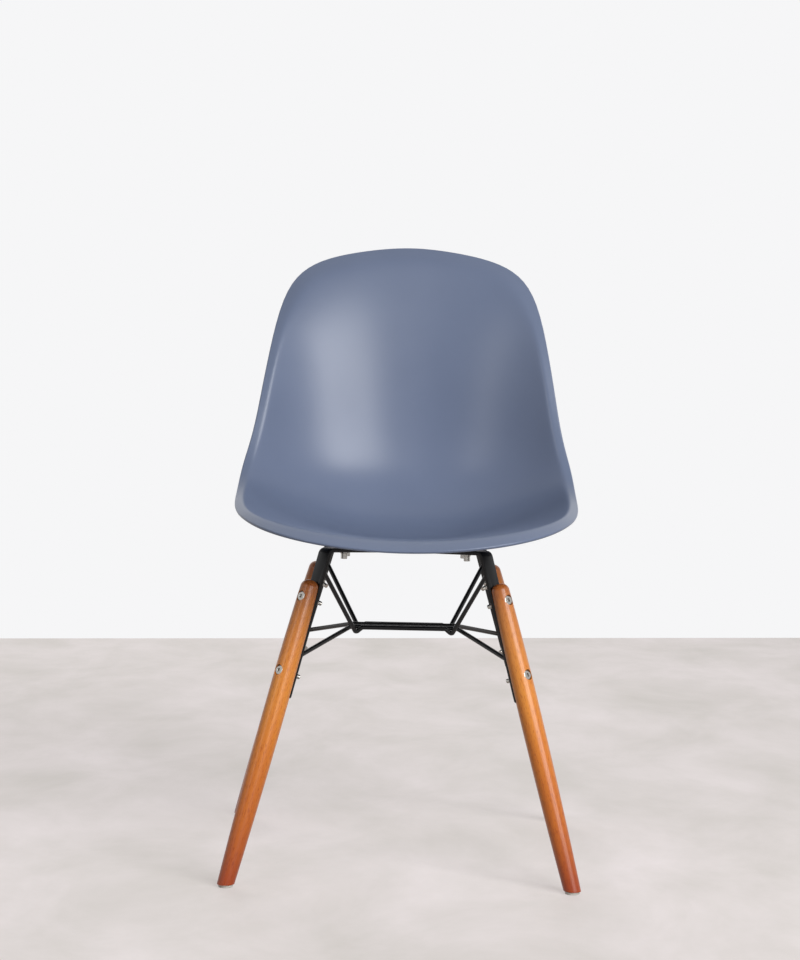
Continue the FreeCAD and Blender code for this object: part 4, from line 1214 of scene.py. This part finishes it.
years_ramp = add(tree, "ShaderNodeValToRGB", {"Fac": years.outputs["Fac"]})
for stop, at, colour in zip(years_ramp.color_ramp.elements, (0.35, 0.65), ("#f4ebe2", "#ffffff")):
    stop.position, stop.color = at, linear(colour)
fleck_place = add(tree, "ShaderNodeMapping", {
    "Vector": grain.outputs["Vector"],
    "Scale": (1000 / FLECK_MM, 1000 / FLECK_MM, 1000 / FLECK_LONG_MM)})
flecks = add(tree, "ShaderNodeTexNoise", {"Vector": fleck_place, "Scale": 1.0, "Detail": 2})
fleck_ramp = add(tree, "ShaderNodeValToRGB", {"Fac": flecks.outputs["Fac"]})
for stop, at, colour in zip(fleck_ramp.color_ramp.elements, (0.34, 0.46), ("#dcc3a8", "#ffffff")):
    stop.position, stop.color = at, linear(colour)
toned = add(
    tree, "ShaderNodeMix", {6: tone.outputs["Color"], 7: years_ramp.outputs["Color"], 0: 1.0},
    data_type="RGBA", blend_type="MULTIPLY")
flecked = add(
    tree, "ShaderNodeMix", {6: toned.outputs[2], 7: fleck_ramp.outputs["Color"], 0: 0.8},
    data_type="RGBA", blend_type="MULTIPLY")
bump = add(
    tree, "ShaderNodeBump", {"Height": flecks.outputs["Fac"], "Strength": 0.04, "Distance": 0.0002})
shader = add(
    tree, "ShaderNodeBsdfPrincipled",
    {"Base Color": flecked.outputs[2], "Normal": bump.outputs["Normal"], "Roughness": 0.34,
     "IOR": 1.5, "Specular IOR Level": 0.35, "Coat Weight": 0.25, "Coat Roughness": 0.22})
add(tree, "ShaderNodeOutputMaterial", {"Surface": shader})

LEG_SCREW_SINK_RADIUS = 7.0
HOLE_SLIP = 0.3
GLIDE_PIN_RADIUS = 2.5
GLIDE_PIN_LONG = 14.0
PIN_SIDES = 32
GRAIN_STEP = (0.031, 0.017, 0)
for leg_index, corner in enumerate(CORNERS):
    end = corner.split("_")[0]
    drop = leg_drop(end)
    upper_bow = bow_radius(LEG_BELLY, LEG_BELLY_RADIUS - LEG_TOP_RADIUS)
    lower_bow = bow_radius(drop - LEG_BELLY, LEG_BELLY_RADIUS - LEG_FOOT_RADIUS)
    leg = put("beech_leg_" + corner, bpy.data.meshes.new("leg"))
    run_tree(leg, leg_tree, {
        "Top": LEG_HEAD * MM, "Foot": (-drop - LEG_BELLY_RADIUS) * MM,
        "Belly Height": -LEG_BELLY * MM, "Belly Radius": LEG_BELLY_RADIUS * MM,
        "Upper Bow": upper_bow * MM,
        "Lower Bow": lower_bow * MM, "Dome": LEG_DOME * MM,
        "Shoulder Radius": surface_radius(LEG_DOME - LEG_HEAD) * MM, "Finish": beech})
    level = Matrix.Translation((0, 0, -drop)) @ Matrix.Rotation(LEAN[end], 4, "Y")
    inner = Matrix.Identity(4)
    flat_low = -SCREW_PITCH - BAR_TAIL - HOLE_SLIP
    cut_away(leg, [
        box((-LEG_FLAT - LEG_CUTTER, -LEG_CUTTER / 2, flat_low),
            (-LEG_FLAT, LEG_CUTTER / 2, LEG_HEAD + CUT_PAST), inner),
        box((-LEG_CUTTER / 2, -LEG_CUTTER / 2, -LEG_CUTTER),
            (LEG_CUTTER / 2, LEG_CUTTER / 2, 0), level)])
    drills = [turned(
        [(0, -CUT_PAST), (GLIDE_PIN_RADIUS, -CUT_PAST),
         (GLIDE_PIN_RADIUS, GLIDE_PIN_LONG + HOLE_SLIP), (0, GLIDE_PIN_LONG + HOLE_SLIP)],
        level, PIN_SIDES)]
    for down in (0.0, SCREW_PITCH):
        seat = surface_radius(down) - SCREW_SINK
        hole = SHANK_RADIUS + HOLE_SLIP
        drills.append(turned(
            [(0, -LEG_FLAT - 1), (hole, -LEG_FLAT - 1), (hole, seat), (LEG_SCREW_SINK_RADIUS, seat),
             (LEG_SCREW_SINK_RADIUS, LEG_CUTTER / 2), (0, LEG_CUTTER / 2)],
            frame_at(Vector((0, 0, -down)), Vector((0, 0, -1)), Vector((1, 0, 0))), ROUND_SIDES))
    cut_away(leg, drills)
    mesh = leg.data
    places = np.empty(len(mesh.vertices) * 3)
    mesh.vertices.foreach_get("co", places)
    places = places.reshape(-1, 3) + np.array(GRAIN_STEP) * leg_index
    grain_place = mesh.attributes.new("grain_place", "FLOAT_VECTOR", "POINT")
    grain_place.data.foreach_set("vector", places.ravel())
    place = leg_frame(corner, BAR_THICK + LEG_FLAT)
    place.translation *= MM
    mesh.transform(place)
    sharpen(leg)
    finish_piece(leg, beech, "leg_wood", "leg_" + corner)


# Leg screws and nuts: at every leg two hexagon socket screws sit sunk in the wood, and pass
# through the bar to plain hexagon nuts on its inner face. They are zinc plated too.

LEG_SCREW_LONG = 34.0
LEG_SCREW_HEAD_RADIUS = 6.5
LEG_SCREW_HEAD_HIGH = 3.0
LEG_SCREW_RIM_ROUND = 0.7
NUT_FLATS = 10.0
NUT_HIGH = 5.0
NUT_BORE_RADIUS = 3.05
NUT_CORNER_DROP = 0.9

# The nut: a hexagon whose corners are turned off at both ends, with a bore.
nut_tree, into = new_tree("hexagon_nut", {
    "Flats": 0.01, "Height": 0.005, "Bore Radius": 0.003, "Corner Drop": 0.0009})
tree = nut_tree
BLOCK_SHARE = 0.995
BLOCK_ROWS = 10
CORNER_SLOPE = 1.1
BORE_SIDES = 32
BORE_PAST = 1.4
NUT_SHARP_DEGREES = 20
middle = add(tree, MATH, [into["Height"], 0.5], operation="MULTIPLY")
corner_radius = add(tree, MATH, [into["Flats"], math.sqrt(3)], operation="DIVIDE")
block = cylinder(tree, corner_radius, into["Height"], HEXAGON, 1, middle)
block_radius = add(tree, MATH, [corner_radius, BLOCK_SHARE], operation="MULTIPLY")
turned_block = cylinder(tree, block_radius, into["Height"], ROUND_SIDES, BLOCK_ROWS, middle)
where = add(tree, "GeometryNodeInputPosition")
split = add(tree, "ShaderNodeSeparateXYZ", [where])
off_middle = add(tree, MATH, [split.outputs["Z"], middle], operation="SUBTRACT")
off_middle = add(tree, MATH, [off_middle], operation="ABSOLUTE")
straight = add(tree, MATH, [middle, into["Corner Drop"]], operation="SUBTRACT")
near_end = add(tree, MATH, [off_middle, straight], operation="SUBTRACT")
near_end = add(tree, MATH, [near_end, 0.0], operation="MAXIMUM")
shrink = add(tree, MATH, [near_end, corner_radius], operation="DIVIDE")
shrink = add(tree, MATH, [shrink, -CORNER_SLOPE], operation="MULTIPLY")
level = add(tree, "ShaderNodeCombineXYZ", [split.outputs["X"], split.outputs["Y"]])
inwards = add(tree, "ShaderNodeVectorMath", {0: level, "Scale": shrink}, operation="SCALE")
turned_block = add(tree, "GeometryNodeSetPosition", {0: turned_block, "Offset": inwards})
nut = add(tree, "GeometryNodeMeshBoolean", {"Mesh 2": block}, operation="INTERSECT", solver="EXACT")
tree.links.new(turned_block.outputs[0], nut.inputs["Mesh 2"])
bore_long = add(tree, MATH, [into["Height"], BORE_PAST], operation="MULTIPLY")
bore = cylinder(tree, into["Bore Radius"], bore_long, BORE_SIDES, 1, middle)
nut = add(
    tree, "GeometryNodeMeshBoolean", {"Mesh 1": nut, "Mesh 2": bore}, operation="DIFFERENCE",
    solver="EXACT")
close_tree(tree, into, on_points(tree, into, nut), sharp_degrees=NUT_SHARP_DEGREES)

for corner in CORNERS:
    seats = []
    faces_in = []
    for down in (0.0, SCREW_PITCH):
        seat = BAR_THICK + LEG_FLAT + surface_radius(down) - SCREW_SINK
        for places_here, out in ((seats, seat), (faces_in, 0.0)):
            face = leg_frame(corner, out, down)
            places_here.append(frame_at(
                face.translation, face.to_3x3().col[2], -face.to_3x3().col[0]))
    screws = run_tree(
        aimed_points("leg_screws_piece_" + corner, seats), screw_tree,
        {"Head Radius": LEG_SCREW_HEAD_RADIUS * MM, "Head Height": LEG_SCREW_HEAD_HIGH * MM,
         "Rim Round": LEG_SCREW_RIM_ROUND * MM, "Shank Radius": SHANK_RADIUS * MM,
         "Shank Length": LEG_SCREW_LONG * MM,
         "Thread Pitch": THREAD_PITCH * MM, "Thread Depth": THREAD_DEEP * MM,
         "Thread Rings": int(LEG_SCREW_LONG / THREAD_PITCH * RINGS_PER_TURN),
         "Socket Flats": SOCKET_FLATS * MM, "Socket Depth": SOCKET_DEEP * MM, "Finish": zinc})
    finish_piece(screws, zinc, "screw_steel", "leg_screws_" + corner)
    nuts = run_tree(
        aimed_points("leg_nuts_piece_" + corner, faces_in), nut_tree,
        {"Flats": NUT_FLATS * MM, "Height": NUT_HIGH * MM, "Bore Radius": NUT_BORE_RADIUS * MM,
         "Corner Drop": NUT_CORNER_DROP * MM, "Finish": zinc})
    finish_piece(nuts, zinc, "zinc_steel", "leg_nuts_" + corner)


# Glides: four moulded nylon discs, each with a pin that is pressed into the leg's level end.
# Their lower edge is rounded so that they slide.

GLIDE_RADIUS = 9.3
GLIDE_EASE = 1.2
GLIDE_TOP_EASE = 0.4
PIN_LEAD = 1.0
PIN_TAPER = 0.8

# Moulded nylon: off-white and half matt, a little soiled where it has slid.
WEAR_MM = 100 / 9
nylon, tree = new_material("glides_moulded_nylon")
place = add(tree, "ShaderNodeTexCoord")
wear = add(tree, "ShaderNodeTexNoise", {
    "Vector": place.outputs["Object"], "Scale": 1000 / WEAR_MM, "Detail": 4})
wear_ramp = add(tree, "ShaderNodeValToRGB", {"Fac": wear.outputs["Fac"]})
for stop, colour in zip(wear_ramp.color_ramp.elements, ("#c9c6bd", "#e6e4dd")):
    stop.color = linear(colour)
shader = add(
    tree, "ShaderNodeBsdfPrincipled",
    {"Base Color": wear_ramp.outputs["Color"], "Roughness": 0.42, "IOR": 1.53})
add(tree, "ShaderNodeOutputMaterial", {"Surface": shader})
for corner in CORNERS:
    end = corner.split("_")[0]
    foot = leg_frame(corner, BAR_THICK + LEG_FLAT, leg_drop(end)).translation
    outline = [(0, 0), (GLIDE_RADIUS - GLIDE_EASE, 0)]
    outline += [
        (GLIDE_RADIUS - GLIDE_EASE * (1 - math.sin(k * math.pi / 8)),
         GLIDE_EASE * (1 - math.cos(k * math.pi / 8))) for k in range(1, 5)]
    outline += [
        (GLIDE_RADIUS, GLIDE_HIGH - GLIDE_TOP_EASE), (GLIDE_RADIUS - GLIDE_TOP_EASE, GLIDE_HIGH),
        (GLIDE_PIN_RADIUS, GLIDE_HIGH), (GLIDE_PIN_RADIUS, GLIDE_HIGH + GLIDE_PIN_LONG - PIN_LEAD),
        (GLIDE_PIN_RADIUS - PIN_TAPER, GLIDE_HIGH + GLIDE_PIN_LONG),
        (0, GLIDE_HIGH + GLIDE_PIN_LONG)]
    glide = mesh_piece("nylon_glide_" + corner, *turned(
        outline, Matrix.Translation((foot.x, foot.y, 0)), DISC_SIDES))
    sharpen(glide)
    finish_piece(glide, nylon, "glide_nylon", "glide_" + corner)
